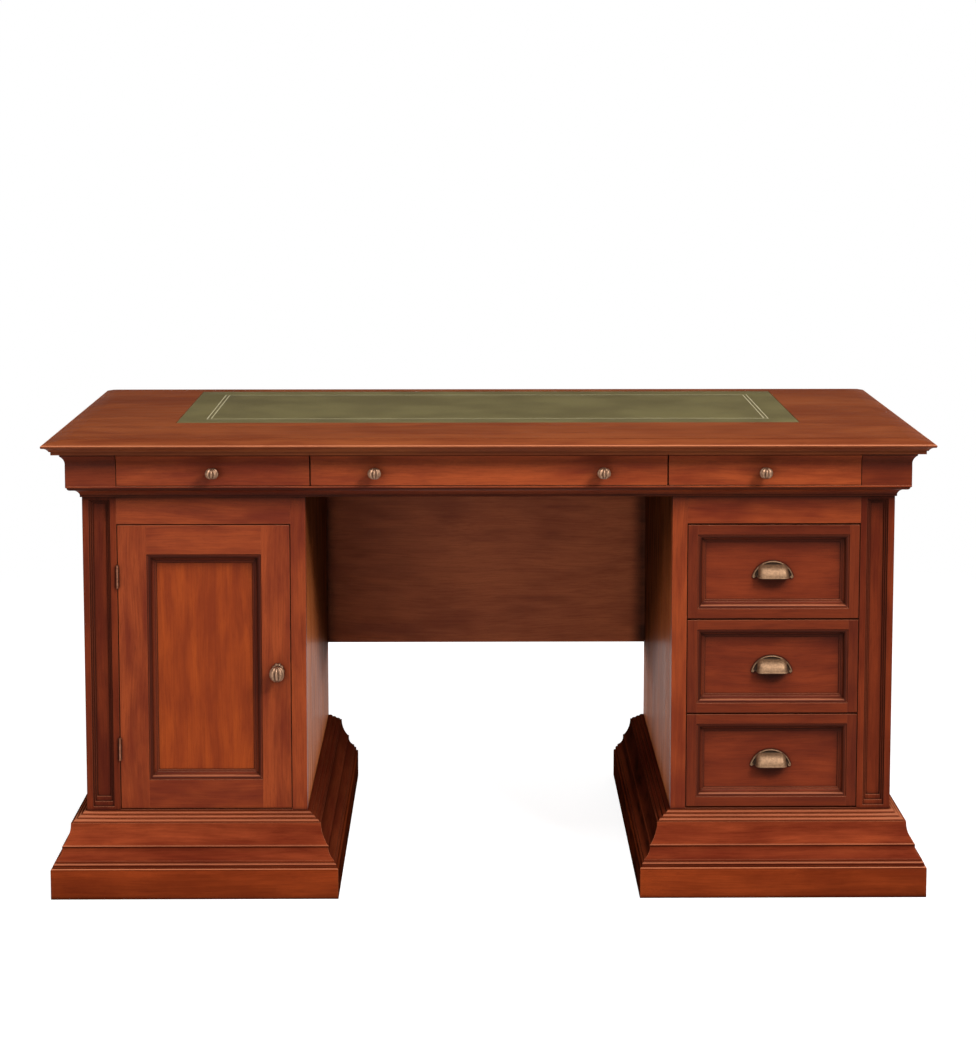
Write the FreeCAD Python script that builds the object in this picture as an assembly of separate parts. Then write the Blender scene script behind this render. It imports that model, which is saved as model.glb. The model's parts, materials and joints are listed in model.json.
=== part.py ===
import FreeCAD, Part
import os
from math import cos, pi, sin

# Pedestal desk with a moulded top, a leather writing surface, three frieze drawers, a cupboard
# on the left and three drawers on the right. Millimetres. The origin lies on the floor under
# the middle of the top, +X runs along the desk, the drawers face -Y and +Z is up.

# Overall sizes
DESK_LENGTH = 1524.0
DESK_DEPTH = 762.0
DESK_HEIGHT = 800.0
KNEEHOLE_WIDTH = 635.0

# Heights of the storeys
TOP_THICKNESS = 25.0
FRIEZE_HEIGHT = 57.0
NECKING_HEIGHT = 22.0
PLINTH_HEIGHT = 141.0
BASE_HEIGHT = 54.0

# How far the faces stand back from the edge of the top
FRIEZE_INSET = 35.5
PEDESTAL_INSET = 60.0
BASE_PROJECTION = 56.4

# Desk top
TOP_EDGE_WIDTH = 60.0
THUMBNAIL_WIDTH = 40.0
THUMBNAIL_DROP = 6.5
THUMBNAIL_LIP = 1.0
THUMBNAIL_SWELL = 1.5
NOSE_RADIUS = 2.8
TOP_HOLLOW = 1.6
TOP_FILLET_HEIGHT = 6.0
TOP_FILLET_SETBACK = 15.0
TOP_FILLET_STEP = 2.5
LEATHER_THICKNESS = 1.6
LEATHER_SIDE_MARGIN = 202.0
LEATHER_FRONT_MARGIN = 236.0
LEATHER_BACK_MARGIN = 76.0

# Frieze
FRIEZE_BOARD = 32.0
FRIEZE_COVE_HEIGHT = 21.0
FRIEZE_COVE_PROJECTION = 8.0
FRIEZE_COVE_HOLLOW = 2.6
FRIEZE_COVE_LIP = 4.0
FRIEZE_CORNER_WIDTH = 86.5
FRIEZE_DIVISION_SETBACK = 10.5
FRIEZE_GUIDE = 18.0

# Necking moulding: a fillet, a cove, a bead and a band, from the bottom up
NECKING_FILLET_PROJECTION = 3.0
NECKING_FILLET_HEIGHT = 4.0
NECKING_COVE_SETBACK = 10.0
NECKING_COVE_HOLLOW = 2.2
NECKING_BEAD_SETBACK = 7.5
NECKING_BEAD_WIDTH = 5.5
NECKING_BEAD_SWELL = 1.6
NECKING_BAND_HEIGHT = 3.0

# Plinth moulding: reeds, a long hollow, an arris, a cove and a bead, from the top down
REED_COUNT = 3
REED_START = 3.0
REED_WIDTH = 5.0
REED_STEP = 2.0
REED_SWELL = 1.2
PLINTH_FILLET = 3.0
PLINTH_LIP = 2.5
PLINTH_HOLLOW_PROJECTION = 36.5
PLINTH_HOLLOW_DROP = 51.0
PLINTH_HOLLOW = 2.6
PLINTH_ARRIS_WIDTH = 2.0
PLINTH_ARRIS_HEIGHT = 4.0
PLINTH_ARRIS_SWELL = 1.2
PLINTH_COVE = 3.2
PLINTH_BEAD_SETBACK = 7.4
PLINTH_BEAD_WIDTH = 3.8
PLINTH_BEAD_HEIGHT = 5.0
PLINTH_BEAD_SWELL = 1.4
PLINTH_FOOT_HEIGHT = 3.0
PLINTH_QUIRK = 4.0
BASE_ROUNDING = 3.0
BASE_ROUNDING_SWELL = 0.9

# Moulding round a sunk panel: a lip, an ovolo, a hollow and a fillet, from the frame inwards
PANEL_LIP_DROP = 1.2
PANEL_LIP_WIDTH = 2.2
PANEL_OVOLO_SHARE = 0.5
PANEL_OVOLO_SWELL = 1.3
PANEL_HOLLOW = 1.1
PANEL_HOLLOW_FOOT = 2.4
PANEL_FILLET_WIDTH = 3.0
PANEL_FILLET_HEIGHT = 1.6

# Pedestal carcasses
SIDE_THICKNESS = 20.0
INNER_SIDE_THICKNESS = 18.0
BOARD_THICKNESS = 18.0
FACE_THICKNESS = 22.0
PILASTER_WIDTH = 58.5
INNER_STILE_WIDTH = 26.0
TOP_RAIL_HEIGHT = 48.0
SILL_ABOVE_PLINTH = 2.0
BASE_BEARING = 34.0
MODESTY_THICKNESS = 18.0
MODESTY_BOTTOM = 295.0
MODESTY_SETBACK = 2.0

# Sunk panels of the pilasters: equal steps, from the flat margin down to the sunk field
PILASTER_MARGIN = 11.0
PILASTER_STEPS = 3
PILASTER_STEP_WIDTH = 3.0
PILASTER_STEP_DEPTH = 2.6
PILASTER_FOOT_MARGIN = 7.0
PILASTER_FOOT_STEP_WIDTH = 8.5
PILASTER_HEAD_MARGIN = 5.0

# Framed panels of the ends, the backs and the door
END_STILE = 58.0
END_RAIL = 58.0
PANEL_THICKNESS = 8.0
PANEL_SINKING = 11.0
PANEL_MOULDING_WIDTH = 15.5
DOOR_STILE = 49.5
DOOR_RAIL = 51.0
DOOR_GAP = 1.5
DOOR_HEAD_GAP = 2.0

# Cupboard fittings
SHELF_THICKNESS = 18.0
SHELF_UNDERSIDE = 385.0
SHELF_CLEARANCE = 1.0
SHELF_PIN_RADIUS = 3.0
SHELF_PIN_LENGTH = 16.0
SHELF_PIN_DEPTH = 8.0
PIN_FIT = 0.05
CATCH_LENGTH = 40.0
CATCH_WIDTH = 20.0
CATCH_DEPTH = 18.0
CATCH_GAP = 0.3
STRIKE_THICKNESS = 1.5
STRIKE_MARGIN = 2.0

# Butt hinges of the door
HINGE_LENGTH = 40.0
HINGE_LEAF = 1.2
HINGE_LEAF_WIDTH = 20.0
HINGE_PIN_RADIUS = 0.9
HINGE_BARREL_RADIUS = 1.8
HINGE_PIN_PROUD = 3.2
HINGE_KNUCKLES = 3
HINGE_KNUCKLE_GAP = 0.3
HINGE_FROM_TOP = 90.0
HINGE_FROM_BOTTOM = 106.0

# Drawers
DRAWER_GAP = 3.0
DRAWER_COUNT = 3
DRAWER_FRAME = 17.0
DRAWER_MOULDING_WIDTH = 14.0
DRAWER_SINKING = 12.0
DRAWER_BOX_WALL = 12.0
DRAWER_BOX_DEPTH = 470.0
DRAWER_SIDE_ROOM = 7.0
DRAWER_LIFT = 16.0
DRAWER_HEADROOM = 18.0
DRAWER_BOTTOM = 6.0
DRAWER_BOTTOM_RISE = 6.0
RUNNER_HEIGHT = 14.0
RUNNER_BEARING = 12.0
RUNNER_CLEARANCE = 0.3
GUIDE_CLEARANCE = 0.5
GUIDE_HEIGHT = 30.0
FRIEZE_DRAWER_GAP = 1.2
FRIEZE_FRONT_THICKNESS = 24.0
FRIEZE_BOX_WALL = 10.0
FRIEZE_BOX_DEPTH = 450.0
FRIEZE_BOX_HEIGHT = 42.0
FRIEZE_BOX_CLEARANCE = 0.4

# Brass knobs and cup pulls
END_KNOB_FROM_CORNER = 167.0
CENTRE_KNOB_SPACING = 392.0
FRIEZE_KNOB_BELOW_COVE = 1.5
FRIEZE_KNOB_DIAMETER = 23.0
FRIEZE_KNOB_ROSE = 19.0
DOOR_KNOB_DIAMETER = 26.0
DOOR_KNOB_ROSE = 28.0
DOOR_KNOB_FROM_EDGE = 22.0
DOOR_KNOB_RISE = 246.0
KNOB_LOBES = 8
KNOB_SIDES_PER_LOBE = 4
KNOB_GROOVE = 0.15
KNOB_SECTIONS = 7
KNOB_HEIGHT_SHARE = 0.82
KNOB_FULLNESS = 0.8
KNOB_POLE = 0.1
KNOB_ROSE_THICKNESS = 2.4
KNOB_ROSE_BEVEL = 2.5
KNOB_STEM_LENGTH = 11.0
KNOB_STEM_RADIUS = 4.5
PULL_FLANGE_WIDTH = 72.0
PULL_FLANGE_HEIGHT = 28.0
PULL_FLANGE_THICKNESS = 1.8
PULL_RIM_WIDTH = 2.6
PULL_RIM_HEIGHT = 1.0
PULL_EAR_RADIUS = 3.0
PULL_CUP_WIDTH = 52.0
PULL_CUP_RADIUS = 22.5
PULL_CUP_CORNER = 12.0
PULL_LIP_PROJECTION = 1.0
PULL_LIP_HEIGHT = 3.0
PULL_WALL = 1.8
PULL_DROP = 11.0

# Levels and planes that follow from the sizes above
TOP_UNDERSIDE = DESK_HEIGHT - TOP_THICKNESS
FRIEZE_LOW = TOP_UNDERSIDE - FRIEZE_HEIGHT
CARCASS_TOP = FRIEZE_LOW - NECKING_HEIGHT
HALF_LENGTH = DESK_LENGTH / 2
HALF_DEPTH = DESK_DEPTH / 2
FRIEZE_X = HALF_LENGTH - FRIEZE_INSET
FRIEZE_Y = HALF_DEPTH - FRIEZE_INSET
OUTER_X = HALF_LENGTH - PEDESTAL_INSET
FACE_Y = HALF_DEPTH - PEDESTAL_INSET
INNER_X = KNEEHOLE_WIDTH / 2
OPENING_OUTER = OUTER_X - PILASTER_WIDTH
OPENING_INNER = INNER_X + INNER_STILE_WIDTH
OPENING_LOW = PLINTH_HEIGHT + SILL_ABOVE_PLINTH
OPENING_HIGH = CARCASS_TOP - TOP_RAIL_HEIGHT
CARCASS_BACK = FACE_Y - SIDE_THICKNESS
BEHIND_FACE = -FACE_Y + FACE_THICKNESS
BEHIND_PILASTER = -FACE_Y + PILASTER_WIDTH

Vec = FreeCAD.Vector
ORIGIN = Vec(0, 0, 0)
X_AXIS = Vec(1, 0, 0)
Y_AXIS = Vec(0, 1, 0)
Z_AXIS = Vec(0, 0, 1)

nodes = {}


# ---------------------------------------------------------------- helpers

def box(x0, x1, y0, y1, z0, z1):
    """Block between opposite corners."""
    return Part.makeBox(x1 - x0, y1 - y0, z1 - z0, Vec(x0, y0, z0))


def moved(shape, x=0.0, y=0.0, z=0.0):
    copy = shape.copy()
    copy.translate(Vec(x, y, z))
    return copy


def turned(shape, axis, degrees):
    copy = shape.copy()
    copy.rotate(ORIGIN, axis, degrees)
    return copy


def mirrored(shape):
    """The same piece on the other side of the desk."""
    return shape.mirror(ORIGIN, X_AXIS)


def section(points):
    """Face of a moulding, drawn anticlockwise from (projection, height[, swell]) points.

    The projection points along -Y. An edge with a swell is an arc that stands that far out of
    the straight line at its middle, and a negative swell is a hollow.
    """
    edges = []
    for index, point in enumerate(points):
        before = points[index - 1]
        start = Vec(0, -before[0], before[1])
        end = Vec(0, -point[0], point[1])
        if len(point) == 2:
            edges.append(Part.LineSegment(start, end).toShape())
            continue
        run = point[0] - before[0]
        rise = point[1] - before[1]
        chord = (run ** 2 + rise ** 2) ** 0.5
        out = Vec(0, -rise / chord, -run / chord)
        middle = (start + end) * 0.5 + out * point[2]
        edges.append(Part.Arc(start, middle, end).toShape())
    return Part.Face(Part.Wire(edges))


def straight_run(points, x0, x1):
    """A moulding that faces -Y, with square ends."""
    return moved(section(points), x0).extrude(Vec(x1 - x0, 0, 0))


def mitred_run(points, length):
    """A moulding that faces -Y along X from 0 to length, with its ends cut at 45 degrees."""
    extent = section(points).BoundBox
    outward = max(0.0, -extent.YMin) + 1.0
    inward = max(0.0, extent.YMax) + 1.0
    low = extent.ZMin - 1.0
    high = extent.ZMax + 1.0
    corners = [
        Vec(-outward, -outward, low),
        Vec(length + outward, -outward, low),
        Vec(length - inward, inward, low),
        Vec(inward, inward, low),
    ]
    plan = Part.Face(Part.makePolygon(corners + corners[:1]))
    bar = straight_run(points, -outward, length + outward)
    return bar.common(plan.extrude(Vec(0, 0, high - low))).Solids[0]


def mitred_ring(points, x0, x1, y0, y1):
    """Four mitred runs round a rectangle, facing outwards: front, right, back and left."""
    starts = ((x0, y0, x1 - x0), (x1, y0, y1 - y0), (x1, y1, x1 - x0), (x0, y1, y1 - y0))
    runs = []
    for quarter, (x, y, length) in enumerate(starts):
        runs.append(moved(turned(mitred_run(points, length), Z_AXIS, 90.0 * quarter), x, y))
    return runs


def framed_panel(width, height, stile, rail, thickness, sinking, moulding_width):
    """Stiles and rails, a sunk panel and its mitred moulding.

    The frame stands on Z = 0 with its face in the plane Y = 0 and X from 0 to width.
    """
    frame = [
        box(0, stile, 0, thickness, 0, height),
        box(width - stile, width, 0, thickness, 0, height),
        box(stile, width - stile, 0, thickness, 0, rail),
        box(stile, width - stile, 0, thickness, height - rail, height),
    ]
    panel = box(stile, width - stile, sinking, sinking + PANEL_THICKNESS, rail, height - rail)
    ring = mitred_ring(panel_moulding(sinking, moulding_width), stile, width - stile, rail, height - rail)
    moulding = [moved(turned(run, X_AXIS, 90.0), y=sinking) for run in ring]
    return frame, [panel], moulding


def revolved(points):
    """A turned piece on the axis -Y, from (projection, radius[, swell]) points."""
    return section(points).revolve(ORIGIN, Y_AXIS, 360.0)


# ---------------------------------------------------------------- mouldings

def top_edge():
    """Thumbnail on a rounded nose, with a hollow and a fillet under it."""
    nose = DESK_HEIGHT - THUMBNAIL_DROP
    fillet_top = TOP_UNDERSIDE + TOP_FILLET_HEIGHT
    return [
        (-TOP_EDGE_WIDTH, TOP_UNDERSIDE),
        (-TOP_FILLET_SETBACK, TOP_UNDERSIDE),
        (-TOP_FILLET_SETBACK, fillet_top),
        (TOP_FILLET_STEP - TOP_FILLET_SETBACK, fillet_top),
        (-NOSE_RADIUS, nose - 2 * NOSE_RADIUS, -TOP_HOLLOW),
        (-NOSE_RADIUS, nose, NOSE_RADIUS),
        (-THUMBNAIL_WIDTH, DESK_HEIGHT - THUMBNAIL_LIP, THUMBNAIL_SWELL),
        (-THUMBNAIL_WIDTH, DESK_HEIGHT),
        (-TOP_EDGE_WIDTH, DESK_HEIGHT),
    ]


def frieze_face(thickness, low, high):
    """Flat face with a cove that leads up to the top."""
    return [
        (-thickness, low),
        (0.0, low),
        (0.0, TOP_UNDERSIDE - FRIEZE_COVE_HEIGHT),
        (FRIEZE_COVE_PROJECTION, TOP_UNDERSIDE - FRIEZE_COVE_LIP, -FRIEZE_COVE_HOLLOW),
        (FRIEZE_COVE_PROJECTION, high),
        (-thickness, high),
    ]


def necking():
    """Bead and cove between the frieze and the pedestals."""
    reach = PEDESTAL_INSET - FRIEZE_INSET
    band_low = FRIEZE_LOW - NECKING_BAND_HEIGHT
    bead_low = band_low - NECKING_BEAD_WIDTH
    return [
        (0.0, CARCASS_TOP),
        (NECKING_FILLET_PROJECTION, CARCASS_TOP),
        (NECKING_FILLET_PROJECTION, CARCASS_TOP + NECKING_FILLET_HEIGHT),
        (reach - NECKING_COVE_SETBACK, bead_low, -NECKING_COVE_HOLLOW),
        (reach - NECKING_BEAD_SETBACK, bead_low),
        (reach - NECKING_BEAD_SETBACK + NECKING_BEAD_WIDTH, band_low, NECKING_BEAD_SWELL),
        (reach, band_low),
        (reach, FRIEZE_LOW),
        (0.0, FRIEZE_LOW),
    ]


def reeds():
    """Stepped half-round reeds from the lowest and widest up to the pedestal's face."""
    points = []
    for reed in reversed(range(REED_COUNT)):
        inner = REED_START + reed * (REED_WIDTH + REED_STEP)
        reed_top = PLINTH_HEIGHT - reed * REED_WIDTH
        points.append((inner + REED_WIDTH, reed_top - REED_WIDTH))
        points.append((inner, reed_top, REED_SWELL))
    return points


def plinth():
    """Reeds, a long hollow with an arris, and a cove that spreads to the base."""
    reeds_low = PLINTH_HEIGHT - REED_COUNT * REED_WIDTH
    lip = REED_START + REED_COUNT * (REED_WIDTH + REED_STEP) - REED_STEP + PLINTH_FILLET
    hollow_low = PLINTH_HEIGHT - PLINTH_HOLLOW_DROP
    bead_low = BASE_HEIGHT + PLINTH_FOOT_HEIGHT
    bead = BASE_PROJECTION - PLINTH_BEAD_SETBACK
    return [
        (0.0, BASE_HEIGHT),
        (bead + PLINTH_BEAD_WIDTH, BASE_HEIGHT),
        (bead + PLINTH_BEAD_WIDTH, bead_low),
        (bead, bead_low + PLINTH_BEAD_HEIGHT, PLINTH_BEAD_SWELL),
        (bead, bead_low + PLINTH_BEAD_HEIGHT + PLINTH_QUIRK),
        (PLINTH_HOLLOW_PROJECTION + PLINTH_ARRIS_WIDTH, hollow_low - PLINTH_ARRIS_HEIGHT, -PLINTH_COVE),
        (PLINTH_HOLLOW_PROJECTION, hollow_low, PLINTH_ARRIS_SWELL),
        (lip, reeds_low - PLINTH_LIP, -PLINTH_HOLLOW),
        (lip, reeds_low),
    ] + reeds() + [(0.0, PLINTH_HEIGHT)]


def base_board():
    """Base member with a rounded upper arris, deep enough to carry the carcass."""
    return [
        (-BASE_BEARING, 0.0),
        (BASE_PROJECTION, 0.0),
        (BASE_PROJECTION, BASE_HEIGHT - BASE_ROUNDING),
        (BASE_PROJECTION - BASE_ROUNDING, BASE_HEIGHT, BASE_ROUNDING_SWELL),
        (-BASE_BEARING, BASE_HEIGHT),
    ]


def panel_moulding(sinking, width):
    """Ogee that leads from a frame down to its sunk panel. Heights count from the panel."""
    return [
        (0.0, 0.0),
        (0.0, sinking - PANEL_LIP_DROP),
        (-PANEL_LIP_WIDTH, sinking - PANEL_LIP_DROP),
        (-PANEL_OVOLO_SHARE * width, PANEL_OVOLO_SHARE * sinking, PANEL_OVOLO_SWELL),
        (PANEL_FILLET_WIDTH - width, PANEL_HOLLOW_FOOT, -PANEL_HOLLOW),
        (PANEL_FILLET_WIDTH - width, PANEL_FILLET_HEIGHT),
        (-width, PANEL_FILLET_HEIGHT),
        (-width, 0.0),
    ]


# ---------------------------------------------------------------- top, frieze and kneehole

def build_top():
    nodes["top_edge_mouldings"] = mitred_ring(top_edge(), -HALF_LENGTH, HALF_LENGTH, -HALF_DEPTH, HALF_DEPTH)
    core_x = HALF_LENGTH - TOP_EDGE_WIDTH
    core_y = HALF_DEPTH - TOP_EDGE_WIDTH
    core = box(-core_x, core_x, -core_y, core_y, TOP_UNDERSIDE, DESK_HEIGHT)
    leather_x = HALF_LENGTH - LEATHER_SIDE_MARGIN
    leather = box(-leather_x, leather_x, LEATHER_FRONT_MARGIN - HALF_DEPTH, HALF_DEPTH - LEATHER_BACK_MARGIN,
                  DESK_HEIGHT - LEATHER_THICKNESS, DESK_HEIGHT)
    nodes["top_core_board"] = [core.cut(leather)]
    nodes["writing_leather"] = [leather]


def drawer_divisions():
    """X of the upright joints in the frieze, from left to right."""
    outer = FRIEZE_X - FRIEZE_CORNER_WIDTH
    inner = INNER_X - FRIEZE_DIVISION_SETBACK
    return [-outer, -inner, inner, outer]


def build_frieze():
    front, right, back, left = mitred_ring(frieze_face(FRIEZE_BOARD, FRIEZE_LOW, TOP_UNDERSIDE),
                                           -FRIEZE_X, FRIEZE_X, -FRIEZE_Y, FRIEZE_Y)
    divisions = drawer_divisions()
    drawer_space = box(divisions[0], divisions[-1], -HALF_DEPTH, 0, FRIEZE_LOW, TOP_UNDERSIDE)
    nodes["frieze_end_boards"] = [left, right]
    nodes["frieze_back_board"] = [back]
    nodes["frieze_corner_blocks"] = front.cut(drawer_space).Solids
    guides = []
    for x in divisions:
        guides.append(box(x - FRIEZE_GUIDE / 2, x + FRIEZE_GUIDE / 2, FRIEZE_BOARD - FRIEZE_Y,
                          FRIEZE_Y - FRIEZE_BOARD, FRIEZE_LOW, TOP_UNDERSIDE))
    nodes["frieze_drawer_guides"] = guides
    nodes["frieze_floor_board"] = [box(-OUTER_X, OUTER_X, -FACE_Y, FACE_Y, CARCASS_TOP, FRIEZE_LOW)]
    nodes["necking_moulding"] = mitred_ring(necking(), -OUTER_X, OUTER_X, -FACE_Y, FACE_Y)
    modesty_back = FACE_Y - MODESTY_SETBACK
    nodes["modesty_panel"] = [box(-INNER_X, INNER_X, modesty_back - MODESTY_THICKNESS, modesty_back,
                                  MODESTY_BOTTOM, CARCASS_TOP)]


# ---------------------------------------------------------------- pedestals
# Each pedestal is drawn on the left and mirrored for the right.

def sunk_field(x0, x1, z0, z1, foot_step):
    """Nested cuts into the plane Y = 0 from the front, each one step deeper and smaller."""
    cuts = []
    for step in range(PILASTER_STEPS):
        side = PILASTER_MARGIN + step * PILASTER_STEP_WIDTH
        head = PILASTER_HEAD_MARGIN + step * PILASTER_STEP_WIDTH
        foot = PILASTER_FOOT_MARGIN + step * foot_step
        depth = (step + 1) * PILASTER_STEP_DEPTH
        cuts.append(box(x0 + side, x1 - side, -1.0, depth, z0 + foot, z1 - head))
    return cuts


def pilaster():
    """Corner post with a sunk panel in its front and in its outer face."""
    post = box(-OUTER_X, -OPENING_OUTER, -FACE_Y, BEHIND_PILASTER, BASE_HEIGHT, CARCASS_TOP)
    cuts = sunk_field(0.0, PILASTER_WIDTH, PLINTH_HEIGHT, CARCASS_TOP, PILASTER_FOOT_STEP_WIDTH)
    for cut in cuts:
        post = post.cut(moved(cut, -OUTER_X, -FACE_Y))
        post = post.cut(moved(turned(cut, Z_AXIS, -90.0), -OUTER_X, BEHIND_PILASTER))
    return post


def outer_side():
    """Framed end of the pedestal, behind the pilaster."""
    depth = FACE_Y - BEHIND_PILASTER
    frame, panel, moulding = framed_panel(depth, CARCASS_TOP - PLINTH_HEIGHT, END_STILE, END_RAIL,
                                          SIDE_THICKNESS, PANEL_SINKING, PANEL_MOULDING_WIDTH)
    skirt = box(0, depth, 0, SIDE_THICKNESS, BASE_HEIGHT - PLINTH_HEIGHT, 0)
    pieces = frame + panel + moulding + [skirt]
    return [moved(turned(piece, Z_AXIS, -90.0), -OUTER_X, FACE_Y, PLINTH_HEIGHT) for piece in pieces]


def pedestal_back():
    """Framed back between the two sides."""
    left = -OUTER_X + SIDE_THICKNESS
    width = -INNER_X - INNER_SIDE_THICKNESS - left
    frame, panel, moulding = framed_panel(width, CARCASS_TOP - PLINTH_HEIGHT, END_STILE, END_RAIL,
                                          SIDE_THICKNESS, PANEL_SINKING, PANEL_MOULDING_WIDTH)
    skirt = box(0, width, 0, SIDE_THICKNESS, BASE_HEIGHT - PLINTH_HEIGHT, 0)
    pieces = frame + panel + moulding + [skirt]
    return [moved(turned(piece, Z_AXIS, 180.0), left + width, FACE_Y, PLINTH_HEIGHT) for piece in pieces]


def inner_side():
    return box(-INNER_X - INNER_SIDE_THICKNESS, -INNER_X, BEHIND_FACE, FACE_Y, BASE_HEIGHT, CARCASS_TOP)


def face_frame():
    """Rails over and under the opening, and the stile beside the kneehole."""
    stile = box(-OPENING_INNER, -INNER_X, -FACE_Y, BEHIND_FACE, BASE_HEIGHT, CARCASS_TOP)
    top_rail = box(-OPENING_OUTER, -OPENING_INNER, -FACE_Y, BEHIND_FACE, OPENING_HIGH, CARCASS_TOP)
    bottom_rail = box(-OPENING_OUTER, -OPENING_INNER, -FACE_Y, BEHIND_FACE, BASE_HEIGHT, OPENING_LOW)
    return [stile, top_rail, bottom_rail]


def carcass_boards():
    """Top and floor boards between the sides, notched round the pilaster."""
    left = -OUTER_X + SIDE_THICKNESS
    right = -INNER_X - INNER_SIDE_THICKNESS
    notch = box(-OUTER_X, -OPENING_OUTER, -FACE_Y, BEHIND_PILASTER, BASE_HEIGHT, CARCASS_TOP)
    boards = []
    for under in (OPENING_LOW - BOARD_THICKNESS, CARCASS_TOP - BOARD_THICKNESS):
        board = box(left, right, BEHIND_FACE, CARCASS_BACK, under, under + BOARD_THICKNESS)
        boards.append(board.cut(notch))
    return boards


def pedestal_pieces():
    around = (-OUTER_X, -INNER_X, -FACE_Y, FACE_Y)
    return {
        "pilaster": [pilaster()],
        "outer_side": outer_side(),
        "inner_side": [inner_side()],
        "back": pedestal_back(),
        "face_frame": face_frame(),
        "top_and_floor": carcass_boards(),
        "plinth_moulding": mitred_ring(plinth(), *around),
        "base_frame": mitred_ring(base_board(), *around),
    }


# ---------------------------------------------------------------- cupboard

def hinge_heights():
    """Z of the middle of each hinge, upper one first."""
    return [OPENING_HIGH - DOOR_HEAD_GAP - HINGE_FROM_TOP, OPENING_LOW + DOOR_HEAD_GAP + HINGE_FROM_BOTTOM]


def hinge_axis():
    """X and Y of the hinge pins, in the gap beside the door and just proud of its face."""
    return -OPENING_OUTER + DOOR_GAP / 2, -FACE_Y - HINGE_PIN_PROUD


def hinge_leaf(plate_x, height, first_knuckle):
    """A leaf with every second knuckle, its plate let in behind the face."""
    pin_x, pin_y = hinge_axis()
    low = height - HINGE_LENGTH / 2
    pitch = HINGE_LENGTH / HINGE_KNUCKLES
    leaf = box(plate_x, plate_x + HINGE_LEAF, -FACE_Y, -FACE_Y + HINGE_LEAF_WIDTH, low, low + HINGE_LENGTH)
    for knuckle in range(first_knuckle, HINGE_KNUCKLES, 2):
        z0 = low + knuckle * pitch + HINGE_KNUCKLE_GAP / 2
        z1 = low + (knuckle + 1) * pitch - HINGE_KNUCKLE_GAP / 2
        barrel = Part.makeCylinder(HINGE_BARREL_RADIUS, z1 - z0, Vec(pin_x, pin_y, z0))
        tab = box(plate_x, plate_x + HINGE_LEAF, pin_y, -FACE_Y, z0, z1)
        leaf = leaf.fuse(tab).fuse(barrel)
    bore = Part.makeCylinder(HINGE_PIN_RADIUS + PIN_FIT, HINGE_LENGTH + 2, Vec(pin_x, pin_y, low - 1))
    return leaf.cut(bore).removeSplitter().Solids[0]


def leaf_recess(plate_x, height):
    """Housing that a leaf lies in, cut into the edge of the wood."""
    low = height - HINGE_LENGTH / 2
    return box(plate_x, plate_x + HINGE_LEAF, -FACE_Y - 1, -FACE_Y + HINGE_LEAF_WIDTH, low, low + HINGE_LENGTH)


def build_hinges():
    pin_x, pin_y = hinge_axis()
    frame_plate = -OPENING_OUTER - HINGE_LEAF
    door_plate = -OPENING_OUTER + DOOR_GAP
    frame_leaves = []
    door_leaves = []
    pins = []
    for height in hinge_heights():
        frame_leaves.append(hinge_leaf(frame_plate, height, 0))
        door_leaves.append(hinge_leaf(door_plate, height, 1))
        pins.append(Part.makeCylinder(HINGE_PIN_RADIUS, HINGE_LENGTH, Vec(pin_x, pin_y, height - HINGE_LENGTH / 2)))
    nodes["hinge_frame_leaves"] = frame_leaves
    nodes["hinge_door_leaves"] = door_leaves
    nodes["hinge_pins"] = pins


def build_door():
    width = OPENING_OUTER - OPENING_INNER - 2 * DOOR_GAP
    low = OPENING_LOW + DOOR_HEAD_GAP
    height = OPENING_HIGH - DOOR_HEAD_GAP - low
    left = -OPENING_OUTER + DOOR_GAP
    parts = framed_panel(width, height, DOOR_STILE, DOOR_RAIL, FACE_THICKNESS, PANEL_SINKING, PANEL_MOULDING_WIDTH)
    frame, panel, moulding = [[moved(piece, left, -FACE_Y, low) for piece in group] for group in parts]
    for hinge in hinge_heights():
        frame[0] = frame[0].cut(leaf_recess(left, hinge))
    nodes["door_frame"] = frame
    nodes["door_panel"] = panel
    nodes["door_panel_moulding"] = moulding
    nodes["door_knob"] = knob(-OPENING_INNER - DOOR_GAP - DOOR_KNOB_FROM_EDGE, -FACE_Y,
                              OPENING_LOW + DOOR_KNOB_RISE, DOOR_KNOB_DIAMETER, DOOR_KNOB_ROSE)


def build_catch():
    """Magnetic catch on the inner side, and its strike on the back of the door."""
    side_x = -INNER_X - INNER_SIDE_THICKNESS
    high = OPENING_HIGH - DOOR_HEAD_GAP - STRIKE_MARGIN
    low = high - CATCH_LENGTH
    strike_back = BEHIND_FACE + STRIKE_THICKNESS
    front = strike_back + CATCH_GAP
    case = box(side_x - CATCH_WIDTH, side_x, front, front + CATCH_DEPTH, low, high)
    nodes["cupboard_catch"] = [case.makeFillet(2.0, [edge for edge in case.Edges if is_upright(edge)][:1])]
    strike_right = -OPENING_INNER - DOOR_GAP - STRIKE_MARGIN
    strike_left = side_x - CATCH_WIDTH - STRIKE_MARGIN
    strike = box(strike_left, strike_right, BEHIND_FACE, strike_back, low + STRIKE_MARGIN, high - STRIKE_MARGIN)
    nodes["door_catch_strike"] = [strike]


def is_upright(edge):
    direction = edge.tangentAt(edge.FirstParameter)
    return abs(direction.z) > 0.99


def shelf_pin_places():
    """X of each side's inner face with the way into the cupboard, and the Y of its two pins."""
    stations = (BEHIND_PILASTER + END_STILE / 2, CARCASS_BACK - END_STILE / 2)
    walls = ((-OUTER_X + SIDE_THICKNESS, 1.0), (-INNER_X - INNER_SIDE_THICKNESS, -1.0))
    return [(wall, inward, y) for wall, inward in walls for y in stations]


def shelf_pin(wall, inward, y, radius):
    start = Vec(wall - inward * SHELF_PIN_DEPTH, y, SHELF_UNDERSIDE - SHELF_PIN_RADIUS)
    return Part.makeCylinder(radius, SHELF_PIN_LENGTH, start, Vec(inward, 0, 0))


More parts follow.
